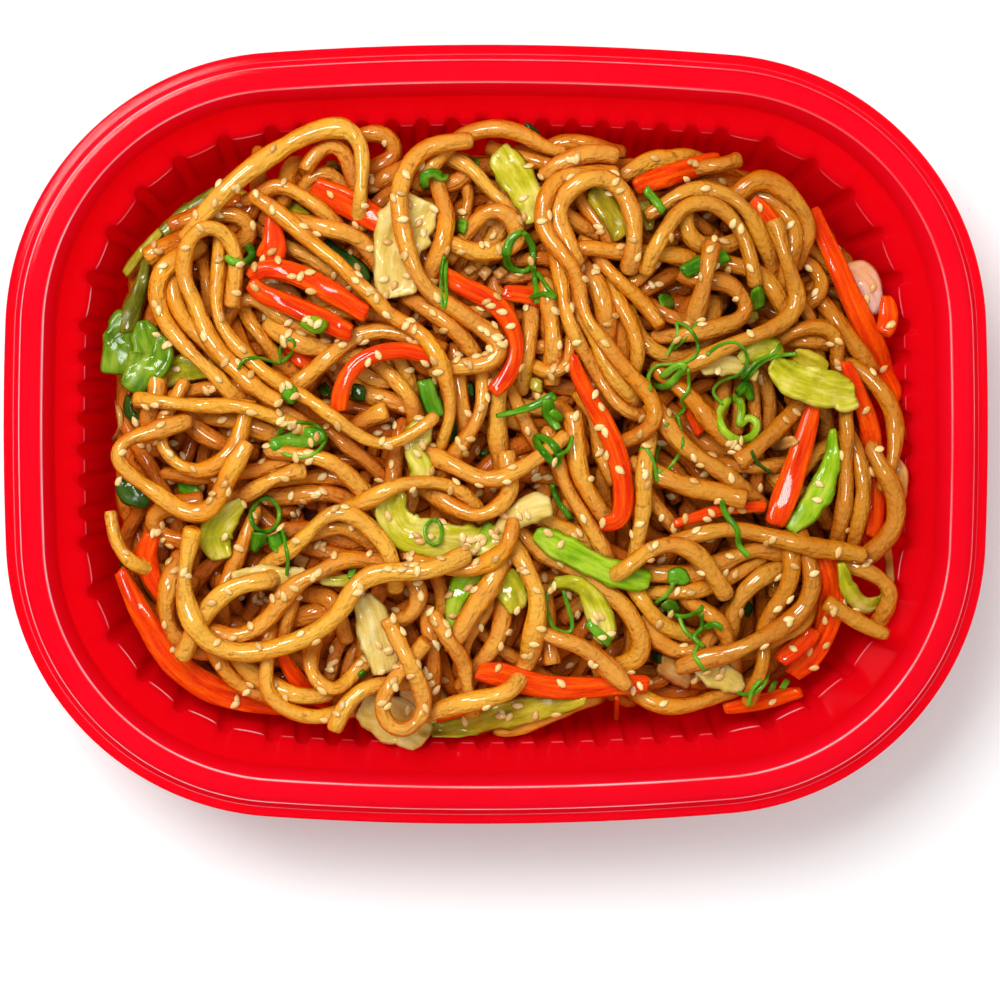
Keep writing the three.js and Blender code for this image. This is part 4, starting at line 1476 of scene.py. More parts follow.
    def rings(
        self, line: np.ndarray, sides: int, rng: np.random.Generator
    ) -> tuple[np.ndarray, np.ndarray]:
        """The section's points at each place of a strand.

        Args:
            line: The strand's middle line.
            sides: How many points a section has.
            rng: The source of unevenness.

        Returns:
            The points, by place and then by side, and the place of each in the strand's grain.
        """
        count = len(line)
        _, side, up = axes_of(line)
        turn = (np.arange(sides) / sides * 2 * math.pi)[None, :]
        twist = rng.uniform(0, math.pi) + 0.5 * slow_noise(count, 16, rng)[:, None]
        square = squarish(turn + twist, 2.8)
        size = self.strand_radius * rng.uniform(0.84, 1.08)
        swell = 1 + 0.06 * slow_noise(count, 9, rng) + 0.03 * slow_noise(count, 3, rng)
        flat = 1 + 0.1 * slow_noise(count, 14, rng)
        cap = np.ones(count)
        cap[[0, -1]] = 0.86
        radius = size * (swell * cap)[:, None] * (0.4 + 0.6 * square) / 0.99
        across = radius * flat[:, None] * np.cos(turn)
        upward = radius / flat[:, None] * np.sin(turn)
        way = np.cumsum(np.linalg.norm(np.diff(line, axis=0, prepend=line[:1]), axis=1))
        shift = rng.uniform(0, 500)
        run = np.broadcast_to(way[:, None] + shift, across.shape)
        ring = side[:, None, :] * across[:, :, None] + up[:, None, :] * upward[:, :, None]
        return line[:, None, :] + ring, np.stack([across + shift, upward, run], axis=2)

    @staticmethod
    def eased(strand: np.ndarray, spacing: float) -> np.ndarray:
        """A strand's line rounded and spaced for the sweep."""
        return curve(smooth(strand.copy(), 2), spacing)

    def core(self, heap: bpy.types.Object, depth: float) -> bpy.types.Object:
        """The heap's inside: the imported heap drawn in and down."""
        piece = heap.copy()
        piece.data = heap.data.copy()
        bpy.context.scene.collection.objects.link(piece)
        piece.name = "heap_core"
        piece.parent = None
        points = points_of(piece)
        share = np.clip((points[:, 2] - 3) / 10, 0, 1)
        points[:, :2] *= (1 - self.core_draw * share)[:, None]
        points[:, 2] -= np.minimum(depth, points[:, 2] * 0.7) * share
        piece.data.vertices.foreach_set("co", (points * MM).ravel())
        piece.data.update()
        apply(piece, "WELD", merge_threshold=1e-5)
        return piece


# ---------------------------------------------------------------- the vegetable pieces

# Each line is one form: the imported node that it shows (a dash where there is none), what it is,
# its thickness, its width, and its places as X,Y or as X,Y,width where the width changes.
VEGETABLES = """
carrot_01 CARROT 3.2 6 -48,64 -41,61,7 -34,57,7 -29,54
carrot_02 CARROT 3 7 -58.5,57,3 -58,52,5 -58,48 -60,44
carrot_03 CARROT 3.2 4.4 -64,40.5,3.6 -61,42.5 -56,42.5,5 -49,40,5.4 -42,36,5.4 -34,31,4.6
carrot_03 CARROT 3.2 4.6 -64,39.5,3.6 -61,36.5 -55,34,5 -47,30.5,5.6 -38,26
carrot_04 CARROT 3 4.2 -17,20 -24,21.8 -31,21.2 -37,18 -40.5,12.5 -41.5,6,4.6
carrot_05 CARROT 3 5 -15,41.5 -9,38 -3,35,5.2 1,31.5 3.6,26,4.2 4,21,4.2 2,15.5,4.6 -2,11,4
carrot_06 CARROT 2.8 5 19,21,2 20,16,3.8 23,10,4.4 27,3,5.2 30,-4,5.4 31.8,-12,5.6 32,-18,5.4 30.5,-22,5 26,-23,3.4
carrot_07 CARROT 3 5.6 35,64,4 42,66.5 50,69 58,71.5,4.6
carrot_08 CARROT 3 5.4 83,59,2.6 84.5,53,4.4 88,45,5 91.5,37 96,28,6.2 100.5,19,6.6 103.5,12,5.4 104,8,3
carrot_09 CARROT 3 4.4 101.5,36,3 102,31,5 100.5,26
carrot_10 CARROT 3 5 90,19,3 94,10,4.6 97,3 98.6,-6,5.2 99,-14 98.6,-22 97.6,-27,4
carrot_11 CARROT 3 6 82,8,3.6 79.5,-1,5.4 76.5,-10,6.2 73.5,-18,6.4 71.4,-23.5,5
carrot_12 CARROT 2.4 3 45,-23,2.2 53,-20.5 60,-19 69,-18.5
carrot_13 CARROT 3 6.4 84,-31,5 86.4,-38 86.8,-44,6.8 85.6,-51,6.8 82,-58 77,-63,5.4
carrot_14 CARROT 2.6 5 83,-51,4 78,-55.5,5.4 73,-59,4
carrot_15 CARROT 2.6 3.6 59,-71.6,3 66,-70.8,4 73,-69.4,4.2 80,-68,3
carrot_16 CARROT 2.8 5.8 -6,-61.5,4 0,-62,6.4 7,-64,6.2 14,-65.4 23,-65.6 31,-65,5.2 39,-64.6,4
carrot_17 CARROT 3 7 -98,-35,3.6 -93,-45,5.6 -88,-53,7 -81,-61.5,7.6 -72,-67,7.2 -62,-70,5.4 -54,-71.5,3.6
carrot_18 CARROT 2.8 5 -89,-25,4 -91,-31,6 -89.5,-36.5,5 -86.5,-42,3.6
carrot_19 CARROT 2.8 3.6 -56.5,-56,3 -53,-62,3.8 -49,-67,4.2 -44,-70,4
carrot_20 CARROT 2.2 3 -16,-74,2 -9,-71.5 -3,-69.8
carrot_21 CARROT 3 6 66,61,4 70,55.5 73.5,50,5
- CARROT 2.4 3 47.5,9.5 51,4.5,3.6 52.5,0
- CARROT 2.6 4.4 91,-24,3 94.5,-26 97,-29,3
- CARROT 2.4 6 -54.5,24,4 -51,20.5 -47,17.5,4
- CARROT 2.4 4 1,36.8 8,36,4.8 15,33.6,3
cabbage_01 CREAM 2 13 -20,61,9 -23,56,15 -25.5,50,14 -26.5,43,11.5 -26,35.5,10
cabbage_02 LEAF 1.4 8 0,74,6 3,69,9.5 6,64,8.6 8,59,7 8.4,54.5,3
cabbage_03 OLIVE 1.4 6 24,64,5 27,60,6.4 30,55,6 31.5,50.5,4
cabbage_04 CREAM 1.4 4.4 52,16.5,3 57,18.2,5.4 63,17.4 67,15,3.4
cabbage_04 LEAF 1.2 6 62,19,3 66,21.5,6 70,22,7 73,20,4
cabbage_05 LEAF 1.3 9 70,19,4 74,15.5,9 80,13,10 86,11.5,10 92.5,10.5,6
cabbage_05 LEAF 1.6 3.4 87,7.8,2.4 90,7.4 93.4,8.6,3
cabbage_05 OLIVE 1.3 4.4 76,21,3 80,19,5.6 85,17,3.4
cabbage_06 BRIGHT 1.8 5 87,1.5,1.8 87,-4,3.6 86,-10,5.8 83.4,-15.4,7 79.4,-20.8,6 75.5,-25,3.4
cabbage_07 LEAF 1.4 6 -18,4,3 -20.8,0.6,7 -22.2,-4,5.4 -20,-8.6,6.4 -20.6,-13,6
cabbage_08 LEAF 1.3 9 -26,-13,6 -28,-18.5,8.4 -25,-24.4,9.6 -18,-26.4,10 -10,-27,8.4 -3,-27,7 1.4,-24,4.6
cabbage_08 BRIGHT 1.6 4.6 -7,-30.4,3 -4.4,-27.4 -1.4,-23,4
cabbage_09 CREAM 2.6 6.6 -0.5,-24.6,3.4 3.4,-21.4 8.4,-18.8,7.8 13.4,-18,5.4
cabbage_10 BRIGHT 2 7 9,-25,3.4 13.6,-27.6,7 20,-31 28,-35,6.8 35,-37,6.8 39,-38,4
cabbage_11 LEAF 1.3 6 14,-38,3 18.4,-38,4 22.4,-40,5 25.4,-45.4,7 27,-50.4,6.8 25.4,-53.6,3.4
cabbage_11 GREEN 1 1.1 13.4,-38.6 12,-42 12.4,-46 14.4,-50 18.4,-50.8 18.6,-47.4 17.4,-43.4 16.5,-40
cabbage_12 LEAF 1.4 8 1,-35.4,5 3,-39.6,9 5,-45.4,4.6
cabbage_13 BRIGHT 1.4 6 -4,-34.6,4.6 -8.4,-37,6.6 -11,-42,5.4 -12,-47.4,3.6 -12.2,-51,2
cabbage_14 CREAM 1.8 9 -35.4,-41.4,5 -33,-47,9 -30.8,-54,9.6 -29.4,-61.6,7
cabbage_15 CREAM 1.6 11 -36,-70,6 -30.4,-72.4,12 -24.4,-75.4,12.6 -18.4,-79.4,7
cabbage_15 CREAM 1.5 8 -25,-65,6 -19.4,-67.4,9 -15.6,-71.4,6 -18,-75,3
cabbage_16 OLIVE 1.8 6 -17,-77,3.4 -8,-76,5.4 0,-73.6,7.6 8.4,-71.6,7.4 16.4,-70,5.4 23,-68.4,2.6
cabbage_17 LEAF 1.4 7 -66,-17,3 -70.4,-21,7 -73,-26.4,8.4 -71.4,-32,5
cabbage_18 CREAM 1.4 6 -69,-36.4,2 -62,-36.4,6.4 -55.4,-36.8,6.2 -49.4,-35.4,4
cabbage_18 LEAF 1.2 3 -46.4,-37.2,2.4 -40,-37.4,3.2 -36.4,-36.4,2
cabbage_19 LEAF 1.3 4.2 88.4,-33,2.6 90.4,-39.4,4.4 95,-44.6,4.6 100.4,-44,4 103,-40,3
cabbage_20 CREAM 1.6 6 51.4,-60.4,3 56,-62,7.4 60.4,-64,6.6 64,-66.6,2.6
greens_01 SPRING 1.2 9 -96.2,32,5 -97.6,27.6,7.4 -98.4,22,8.6 -99,15.6,8
greens_02 SPRING 1.2 9 -92,29.6,3 -91,25.6,8 -89.6,21,11 -92,16,9 -95.4,11.4,6
greens_03 STEM 2 4.4 -91.2,46,2.4 -92.2,40,3.4 -94,34.4,4.6 -95.6,30,6 -96.2,26,4
greens_04 STEM 1.6 3.6 -72,63.6,4 -77,60,5 -82,57,4.4 -88,51.6,3.4
greens_05 DARK 1.6 6 -97,-10,4 -94.4,-14,9 -90,-17,5
greens_06 GREEN 1.6 3.8 47.4,41.8,3.6 53,44.4,4.2 59.4,46.6,3.8
greens_07 GREEN 1.6 2.2 -1,5,1.2 5,6.4,2 9.6,8 14.4,10.4,2.8
onion_01 PEARL 1.6 8 91.4,42,5 95.6,40.4,9.4 98,35.4,7 98.4,31,3
onion_02 ONION 1.6 4 103.4,-6.4,3 105,-11,4.4 104.6,-17,3
- LEAF 1.4 3.4 -59,62 -54,59.4,4 -49,56.4,2.6
- OLIVE 1.4 3.4 -71,63,2 -66.4,61.6,4 -62.4,61.4,2.4
- OLIVE 1.2 2.4 -97,41.6 -92.4,47.6,3 -87.4,53
- LEAF 1.4 8 -88,12.4,4 -84.6,16,8 -79,17.4,7 -73,16.4,4
- DARK 1.8 2.8 -95.4,10 -96,6.4 -93.4,4 -91.6,6.4
- DARK 1.2 2.8 7,80 9.6,78 11,75
- DARK 1.2 2 23.6,76.4 26.4,75.4
- DARK 1 1.4 44.6,73 48.4,72.2
- DARK 1.2 4 -45.4,50.4,2 -41,46.4,4 -36,42,5 -33.4,39.4,2.6
- DARK 1.2 4 -38,11.4 -34.4,10.4,4.6
- GREEN 1.2 4 -83,-13.4,2.4 -79.4,-14.6,4.6 -77.4,-18,4
- GREEN 1.2 2.4 -78,-10.6 -77.6,-13.4
- DARK 1.2 2.6 -98,-33.4 -96.4,-35.4
- DARK 1.2 3 -81,-50 -79,-54.4
- GREEN 1.6 5 -19,14.4 -17.6,9.4 -15.4,4.4,4
- DARK 1.2 3 -8,14 -10,6.4,3.6 -13,-2.4,2.4
- OLIVE 1.4 5 8,13.4,3 11.4,12.4,4
- OLIVE 1.2 3 38,61 39,56.4,3.8 39.4,53,2
- GREEN 1.3 4.4 32,43.6 35,42,3
- OLIVE 1.4 3.4 65.6,33 66.6,29.6
- GREEN 1.1 3 44,-52 46.4,-53.4
- ONION 1.8 7 42,-59.4,5 46.4,-62 51,-65,5
- ONION 1.4 4 -53,-32,3 -49.4,-33.4,4.4
- ONION 1.4 3 -8,43.6 -6.4,42,3.4
- ONION 1.4 3.4 -4.4,43 -2.4,41,4
- ONION 1.4 3.4 -0.4,43 1.4,41
- DARK 1.2 3.4 83,5 83.4,2
- DARK 1.2 3 64.4,-47 66.4,-44.4
"""

# Small things that drop onto the heap once it rests, written in the same way.
SHREDS = """
scallion_ring_1 GREEN 1.2 1.6 6,52.4 3,50.4,2.2 1.8,46.6,2.4 3,43.4,2 7,42.4 9,45 8.6,49,2.2 6,52.4
scallion_ring_2 BRIGHT 1.2 2.2 61,9.6 58.4,7.4 57,4 58.4,0.6 62,-1.4 66,-0.6 67.6,2.6 65.4,4.4 63,2.4 63.6,6 63,9 61,9.6
scallion_ring_3 GREEN 1.2 1.2 -62,-17 -64,-20 -63,-23.6 -60,-25 -57.4,-23.4 -56.6,-20 -58,-17 -60,-16 -62,-17
scallion_ring_4 GREEN 1 1 -17.4,-21.4 -19.4,-24 -18.4,-27.4 -16,-28 -15,-25.4 -15.6,-22 -17.4,-21.4
scallion_ring_5 GREEN 1.8 2.4 -18.6,63.4 -19.4,66.4 -17,67.6 -14.4,66.4 -13.4,68.4
- GREEN 1.4 5 -62,-25 -62.4,-28,5.6 -61.4,-30,3
- GREEN 1.4 5 -58,-25.4 -56.8,-28,5.6 -57,-30,3
- GREEN 1 1 -56,-24 -55,-28 -54.4,-32 -54.8,-36
- ONION 0.9 1.4 -100,9 -98,5 -98.4,1 -101,-2
- GREEN 1.4 2.2 -70,46 -68.4,44.4 -65,44.6 -63.4,47 -65,49
- GREEN 1.2 2.8 -43.4,72 -42.4,69
- GREEN 1.2 1.8 -10,73.6 -7,72 -5,70.4
- GREEN 1.2 3.4 -11,54.6 -8.4,53.4,4
- BRIGHT 1.8 4 -51,29.4,2.6 -47.6,28.4,4.4 -44.6,27.4,3.6
- GREEN 0.8 0.9 -67,17 -65.5,19.5 -62,20 -56.4,18.6 -56.6,22 -54,25 -52.4,23.4 -54,20.4 -56.4,18.6
- GREEN 1.2 3.6 -55.4,13.4,2.6 -54,11,4.4 -52,8.4,2.6
- DARK 1.2 3 -46,13 -44,10.4
- GREEN 0.9 1 -57,-1 -56,2 -52,3.5 -47,2.6 -44.6,-0.6 -47.4,-4.4 -52,-5.4 -56,-4.4
- GREEN 1.3 5 -59,-3,3.4 -55,-2,5.4 -50,-0.6,6 -45,0.6,3
- GREEN 0.9 1 -14.4,46 -15,42 -15.2,36 -14.6,32.6 -13.8,36 -14,42 -13.4,45.4
- DARK 1.2 2.4 -7.6,13.6 -7.4,10
- GREEN 1.1 1.6 9,43.6 9.6,39 10,34,2.2
- GREEN 1 1.2 10,42 12,38.6 14.4,35.4
- GREEN 1 1.4 8,35.4 11.4,36.6 14,35.4
- GREEN 1.2 3 12,9.6 13,5.4,3.6 15,1.4,2
- GREEN 1.2 2.4 13,6.4 16.4,3.6
- GREEN 1.6 2.2 9.4,-0.4 12,-1 15,-4.4 14.6,-7.4 12,-5.4 9.6,-2.4 9.4,-0.4
- GREEN 1 1.1 18.6,0 17.6,-3.6 14.6,-5
- GREEN 1.2 1.6 14,-13 15.6,-17.4 19,-22
- GREEN 1.2 2.4 37.6,63.6 40,61 43,57.4
- GREEN 1.3 4.4 42,34 45,34.6,4.6 48,36,2
- GREEN 1.4 3 66,38 67.4,34.6,5 68,32.4,4
- GREEN 0.8 0.9 45,22 48,25 50,28 53,30
- GREEN 0.8 1 43.4,20.4 46,26.4 45.6,29 48,28 51,24 50.4,20.4 46,18.4 41,18 38.4,15 38.4,11.5
- GREEN 1.4 2 40.6,13 43,12.4 46,15.4 47.4,18 45,17.6 42,15
- GREEN 0.8 1 48.4,17 49,12 47,9 48.4,6.6 45,4.4 41,1
- GREEN 0.8 1 46,5 47,0 46.4,-5 43.4,-9 40.4,-9 41,-5.4 42.4,-3
- GREEN 0.9 1.2 36,-4 37.4,-3 39.4,-7.4 40.4,-12
- GREEN 0.8 0.9 53,20.5 56,23 60,24 63,22 64,19 62,15.6 58,14 56,11 58,8
- GREEN 0.9 1.1 63.6,13.6 66,17 70,20 76.4,21
- GREEN 0.9 1.1 62.6,14.6 66.4,19 71,21.4 72.6,23.6
- GREEN 1.2 2 62,10.4 64.4,12.6,3 66,8.6
- DARK 0.9 1.1 65,-4 67,-7.4 71,-10
- GREEN 1.1 1.6 57,-16.6 58,-20 61,-24 62,-28.6 64.6,-31.4
- GREEN 1.2 4 43.4,-36.6 46.4,-36.4,5 48.4,-38.4,3
- GREEN 0.9 1.2 40.6,-44 44,-40.4 44.6,-38
- GREEN 1.2 3.4 43,-43 45.4,-45,4 46.4,-47,2.4
- GREEN 0.9 1.2 44,-46 48,-47.4 52,-45 53.4,-42.6
- GREEN 0.9 1.2 47,-47.4 48.4,-51 52,-54 50.4,-57 54.4,-62
- GREEN 0.9 1.2 52,-46 53,-50 50.4,-52.4 53.4,-55
- GREEN 1.1 1.8 53.4,-50 55.4,-48.6 57.4,-50
- GREEN 0.9 1.1 62,-67 65,-67.4 68,-65.4 70.6,-62
- GREEN 0.9 1.1 65,-70.4 65.4,-66 68,-63.4
- GREEN 1.4 3 71,-66 73.4,-66.4,3.4
- GREEN 1.4 3 74.6,-65.4 76.4,-66
- GREEN 1.3 2.6 22.6,-48 25.4,-51 29.4,-54.4
- DARK 1.2 3 40,-58 42.4,-58.4
- ONION 1.4 2.6 71.4,-4 74,-2.6,3.4 77,-1
- ONION 1.2 2.4 101,-29 103,-34 103.6,-39
- CARROT 1.2 1.2 30.6,-68 31.6,-72 32.2,-76
- GREEN 1.2 2.4 -36,-61 -34.4,-62.6
- GREEN 1 1.6 -4.6,-5 -2.4,-4.8
- GREEN 1.1 2 -37.6,-34 -38.4,-36.4
"""


SHRED_WIDTH = 2.3


@dataclass(frozen=True)
class Form:
    """A vegetable piece as it is seen from above."""

    node: str
    kind: Kind
    thick: float
    places: np.ndarray

    @staticmethod
    def read(text: str) -> list["Form"]:
        """Forms from lines of a node, a kind, a thickness, a width and places."""
        found = []
        for line in text.strip().splitlines():
            node, kind, thick, width, *words = line.split()
            places = [[float(v) for v in word.split(",")] for word in words]
            filled = [place + [float(width)] * (3 - len(place)) for place in places]
            found.append(Form(node, Kind[kind], float(thick), np.array(filled)))
        return found

    @property
    def widest(self) -> float:
        """Its largest width."""
        return self.places[:, 2].max()

    @property
    def slender(self) -> bool:
        """Whether it is a shred, and no sheet."""
        return self.widest < SHRED_WIDTH


class Lay:
    """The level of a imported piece, its middle or its top, carried on past its edges."""

    def __init__(
        self, solid: bpy.types.Object, spacing: float = 1.6, reach: float = 2.2, steepest: float = -2.0
    ) -> None:
        """Spreads points over a solid's faces.

        Args:
            solid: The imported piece.
            spacing: How far apart the points lie.
            reach: How far a point's own level counts.
            steepest: The least upward share of a face's normal that counts, below -1 for all.
        """
        solid.data.calc_loop_triangles()
        corners = points_of(solid)
        made = []
        for face in solid.data.loop_triangles:
            a, b, c = corners[list(face.vertices)]
            if face.normal.z < steepest:
                continue
            count = max(1, math.ceil(max(np.linalg.norm(b - a), np.linalg.norm(c - a)) / spacing))
            for i in range(count):
                for j in range(count - i):
                    u, v = (i + 0.33) / count, (j + 0.33) / count
                    made.append(a + (b - a) * u + (c - a) * v)
        self.points = np.array(made)
        self.reach = reach

    def at(self, x: np.ndarray, y: np.ndarray) -> np.ndarray:
        """The level at points, nearest first."""
        gap = (x[..., None] - self.points[:, 0]) ** 2 + (y[..., None] - self.points[:, 1]) ** 2
        gap -= gap.min(axis=-1, keepdims=True)
        weight = np.exp(-gap / (2 * self.reach**2))
        return (weight * self.points[:, 2]).sum(axis=-1) / weight.sum(axis=-1)


@dataclass
class Rest:
    """How a thing lies that has dropped onto the heap: taut over gaps, with a little slack."""

    relief: Ground
    rise: float
    sag: float = 0.12
    rounds: int = 60

    def along(self, x: np.ndarray, y: np.ndarray) -> np.ndarray:
        """The level at each point of a line."""
        floor = self.relief.at(x, y) + self.rise
        level = floor.copy()
        for _ in range(self.rounds):
            level[1:-1] = np.maximum(floor[1:-1], (level[:-2] + level[2:]) / 2 - self.sag)
        return level


class Section(Enum):
    """A strip's section: how many points it has, and how square it is."""

    CARROT = (20, 3.6)
    SHRED = (8, 2.2)


@dataclass
class Vegetables:
    """Carrot strips, leaves and shreds, each formed along its own route."""

    tray: Tray
    spacing: float = 0.8
    shred_spacing: float = 0.6
    sunk: float = 3.0
    wall_gap: float = 1.5
    carrot_gap: float = 1.6
    loose_gap: float = 2.0
    edge_ease: float = 1.1
    edge_least: float = 0.55
    cut_reach: float = 2.0
    torn: float = 0.07
    droop: float = 0.03
    seed: int = 11
    loose_seed: int = 500
    shred_seed: int = 900

    def build(self) -> list[bpy.types.Object]:
        """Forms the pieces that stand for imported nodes, and the loose ones between them.

        Returns:
            The pieces.
        """
        forms: dict[str, list[Form]] = {}
        for form in Form.read(VEGETABLES):
            forms.setdefault(form.node, []).append(form)
        loose = forms.pop("-")
        made = []
        for number, (node, group) in enumerate(forms.items()):
            lay = Lay(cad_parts[node])
            rng = np.random.default_rng(self.seed + number)
            for part, form in enumerate(group):
                level = self.clear(lay.at, self.carrot_gap if form.kind is Kind.CARROT else 1.0)
                piece = self.piece(f"{node}_{part + 1}", self.shape(form, level, rng))
                dress(piece, form.kind.value[0], self.slot(node), node)
                made.append(piece)
        heap = Lay(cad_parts["noodle_heap"], 2.0, 2.2, 0.3)
        level = self.clear(lambda x, y: heap.at(x, y) - self.sunk, self.loose_gap)
        for number, form in enumerate(loose):
            rng = np.random.default_rng(self.seed + self.loose_seed + number)
            piece = self.piece(f"extra_{number + 1}", self.shape(form, level, rng))
            dress(piece, *form.kind.value)
            made.append(piece)
        return made

    def clear(self, level: Level, times: float) -> Level:
        """A level that is raised where the tray's wall would be in the way.

        Args:
            level: The level, as a function of X and Y.
            times: How many times the usual gap is kept to the wall.

        Returns:
            The raised level, as a function of X and Y.
        """
        heights = np.arange(0.0, self.tray.height, 0.5)
        insets = self.tray.wall_inset(heights) + self.wall_gap * times

        def raised(x: np.ndarray, y: np.ndarray) -> np.ndarray:
            """The level at places, no lower than the wall lets it be."""
            open_at = insets <= self.tray.outline.inset(x, y)[..., None]
            return np.maximum(level(x, y), heights[np.argmax(open_at, axis=-1)])

        return raised

    def scatter(self, relief: Ground) -> list[bpy.types.Object]:
        """Drops the small things onto the resting heap.

        Args:
            relief: The heap's level with its strands and its large pieces.

        Returns:
            The pieces, one for each kind and one for each packed ring.
        """
        groups: dict[tuple[str, Kind], list[Solid]] = {}
        for number, form in enumerate(Form.read(SHREDS)):
            rng = np.random.default_rng(self.seed + self.shred_seed + number)
            solid = self.shape(form, Rest(relief, form.thick / 2 - 0.1), rng)
            relief.cover(solid[0], self.spacing)
            groups.setdefault((form.node, form.kind), []).append(solid)
        made = []
        for (node, kind), solids in groups.items():
            shifts = np.cumsum([0] + [len(points) for points, _, _ in solids[:-1]])
            faces = [[v + k for v in f] for s, k in zip(solids, shifts) for f in s[1]]
            joined = np.vstack([s[0] for s in solids]), faces, np.vstack([s[2] for s in solids])
            if node == "-":
                piece = self.piece(f"shreds_{kind.name.lower()}", joined)
                dress(piece, *kind.value)
            else:
                piece = self.piece(f"{node}_1", joined)
                dress(piece, kind.value[0], self.slot(node), node)
            made.append(piece)
        return made

    def shape(self, form: Form, level: Level | Rest, rng: np.random.Generator) -> Solid:
        """A form's points, faces and grain.

        Args:
            form: The form.
            level: Its level, as a function of X and Y or as a rest on the heap.
            rng: The source of its unevenness.

        Returns:
            The points in millimetres, the faces and the grain.
        """
        spine = curve(form.places, self.shred_spacing if form.slender else self.spacing)
        resting = isinstance(level, Rest)
        height = (level.along if resting else level)(spine[:, 0], spine[:, 1])
        if form.kind is Kind.CARROT or form.slender:
            section = Section.CARROT if form.kind is Kind.CARROT else Section.SHRED
            return self.strip(form, spine, height, section, rng)
        return self.sheet(form, spine, height, None if resting else level, rng)

    def strip(
        self, form: Form, spine: np.ndarray, height: np.ndarray, section: Section, rng: np.random.Generator
    ) -> Solid:
        """A cut strip: a rounded bar with ridges along its grain and slanted ends.

        Args:
            form: The form.
            spine: Its line, with its width at each place.
            height: Its level at each place.
            section: Its section.
            rng: The source of its unevenness.

        Returns:
            The points, the faces and the grain.
        """
        sides, square = section.value
        count = len(spine)
        line = smooth(np.column_stack([spine[:, :2], height]), 3)
        along, side, up = axes_of(line)
        turn = np.arange(sides) / sides * 2 * math.pi
        far = squarish(turn, square)[None, :] * (1 + 0.035 * rng.normal(0, 1, sides)[None, :])
        far = far * (1 + 0.03 * slow_noise(count, 8, rng))[:, None]
        end = np.minimum(np.arange(count), np.arange(count)[::-1])
        shut = np.where(end == 0, 0.72, np.where(end == 1, 0.94, 1.0))[:, None]
        wide = spine[:, 2:3] / 2 * far * np.cos(turn) * shut
        tall = form.thick / 2 * far * np.sin(turn) * shut
        lean = 0.22 * slow_noise(count, 12, rng)[:, None]
        across = wide * np.cos(lean) - tall * np.sin(lean)
        upward = wide * np.sin(lean) + tall * np.cos(lean)
        slant = rng.uniform(-0.5, 0.5)
        points = line[:, None, :] + side[:, None, :] * across[:, :, None]
        points = points + up[:, None, :] * upward[:, :, None]
        points = points + along[:, None, :] * (across * slant)[:, :, None] * (end < 1)[:, None, None]
        way = np.arange(count)[:, None] * self.spacing + rng.uniform(0, 300)
        grain = np.stack([across + way[0], upward, np.broadcast_to(way, across.shape)], axis=2)
        return points.reshape(-1, 3), tube_faces(count, sides), grain.reshape(-1, 3)

    def sheet(
        self, form: Form, spine: np.ndarray, height: np.ndarray, level: Level | None, rng: np.random.Generator
    ) -> Solid:
        """A leaf: a thin pillow with a ragged edge, a rib and ripples.

        Args:
            form: The form.
            spine: Its line, with its width at each place.
            height: Its level at each place.
            level: Its level anywhere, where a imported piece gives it.
            rng: The source of its unevenness.

        Returns:
            The points, the faces and the grain.
        """
        rows, columns = len(spine), max(7, int(form.widest / self.spacing))
        v = np.linspace(-1, 1, columns)[None, :]
        along = unit(np.gradient(spine[:, :2], axis=0))
        left = left_of(along)
        way = np.arange(rows) * self.spacing
        end = np.minimum(way, way[::-1])[:, None]
        blunt = np.sqrt(np.clip(1 - (1 - np.minimum(end / self.edge_ease, 1)) ** 2, self.edge_least, 1))
        ragged = [slow_noise(rows, 3, rng)[:, None] for _ in range(2)]
        reach = v * spine[:, 2:3] / 2 * blunt * (1 + self.torn * np.where(v > 0, *ragged))
        skew = rng.uniform(-0.35, 0.35)
        cut = end < self.cut_reach
        x, y = (
            spine[:, k : k + 1] + left[:, k : k + 1] * reach + along[:, k : k + 1] * reach * skew * cut
            for k in (0, 1)
        )
        middle = height[:, None] - self.droop * reach**2 if level is None else level(x, y)
        middle = middle + min(1.0, form.widest / 9) * self.folds(reach, way[:, None], rng)
        full = form.thick / 2 * np.sqrt(np.clip(1 - v**6, 0, 1)) * np.sqrt(np.clip(end, 0, 1))
        top, low = (np.stack([x, y, z], axis=2).reshape(-1, 3) for z in (middle + full, middle - full))
        grid = np.arange(rows * columns).reshape(rows, columns)
        corners = grid[:-1, :-1], grid[1:, :-1], grid[1:, 1:], grid[:-1, 1:]
        over = np.stack(corners, axis=2).reshape(-1, 4)
        under = over[:, ::-1] + rows * columns
        run = np.broadcast_to(way[:, None] + rng.uniform(0, 300), x.shape)
        grain = np.stack([reach, np.zeros_like(x), run], axis=2).reshape(-1, 3)
        return np.vstack([top, low]), over.tolist() + under.tolist(), np.vstack([grain, grain])

    @staticmethod
    def folds(reach: np.ndarray, way: np.ndarray, rng: np.random.Generator) -> np.ndarray:
        """A leaf's relief: a rib, sharp creases that cross it aslant, and faint ripples.

        Args:
            reach: How far each point stands from the leaf's line.
            way: How far along the leaf it lies.
            rng: The source of the creases.

        Returns:
            The height of each point above the leaf's level.
        """
        made = 0.2 * np.exp(-np.abs(reach) / 0.7)
        for _ in range(2 + int(way.max() / 5)):
            turn = rng.uniform(-1.2, 1.2)
            off = (way - rng.uniform(0, way.max())) * math.cos(turn) + reach * math.sin(turn)
            made = made + rng.choice([-1, 1]) * rng.uniform(0.3, 0.7) * np.exp(-np.abs(off) / 1.6)
        phase = rng.uniform(0, 6.3, 3)
        made = made + 0.22 * np.sin(way / 2.0 + reach / 2.6 + phase[0])
        return made + 0.10 * np.sin(way / 1.1 + phase[1]) * np.sin(reach / 1.4 + phase[2])

    @staticmethod
    def piece(name: str, solid: Solid) -> bpy.types.Object:
        """Makes a form's object, closed and facing out."""
        points, faces, grain = solid
        made = mesh_piece(name, points, faces)
        paint(made, "grain", grain)
        face_out(made, merge=True)
        return made

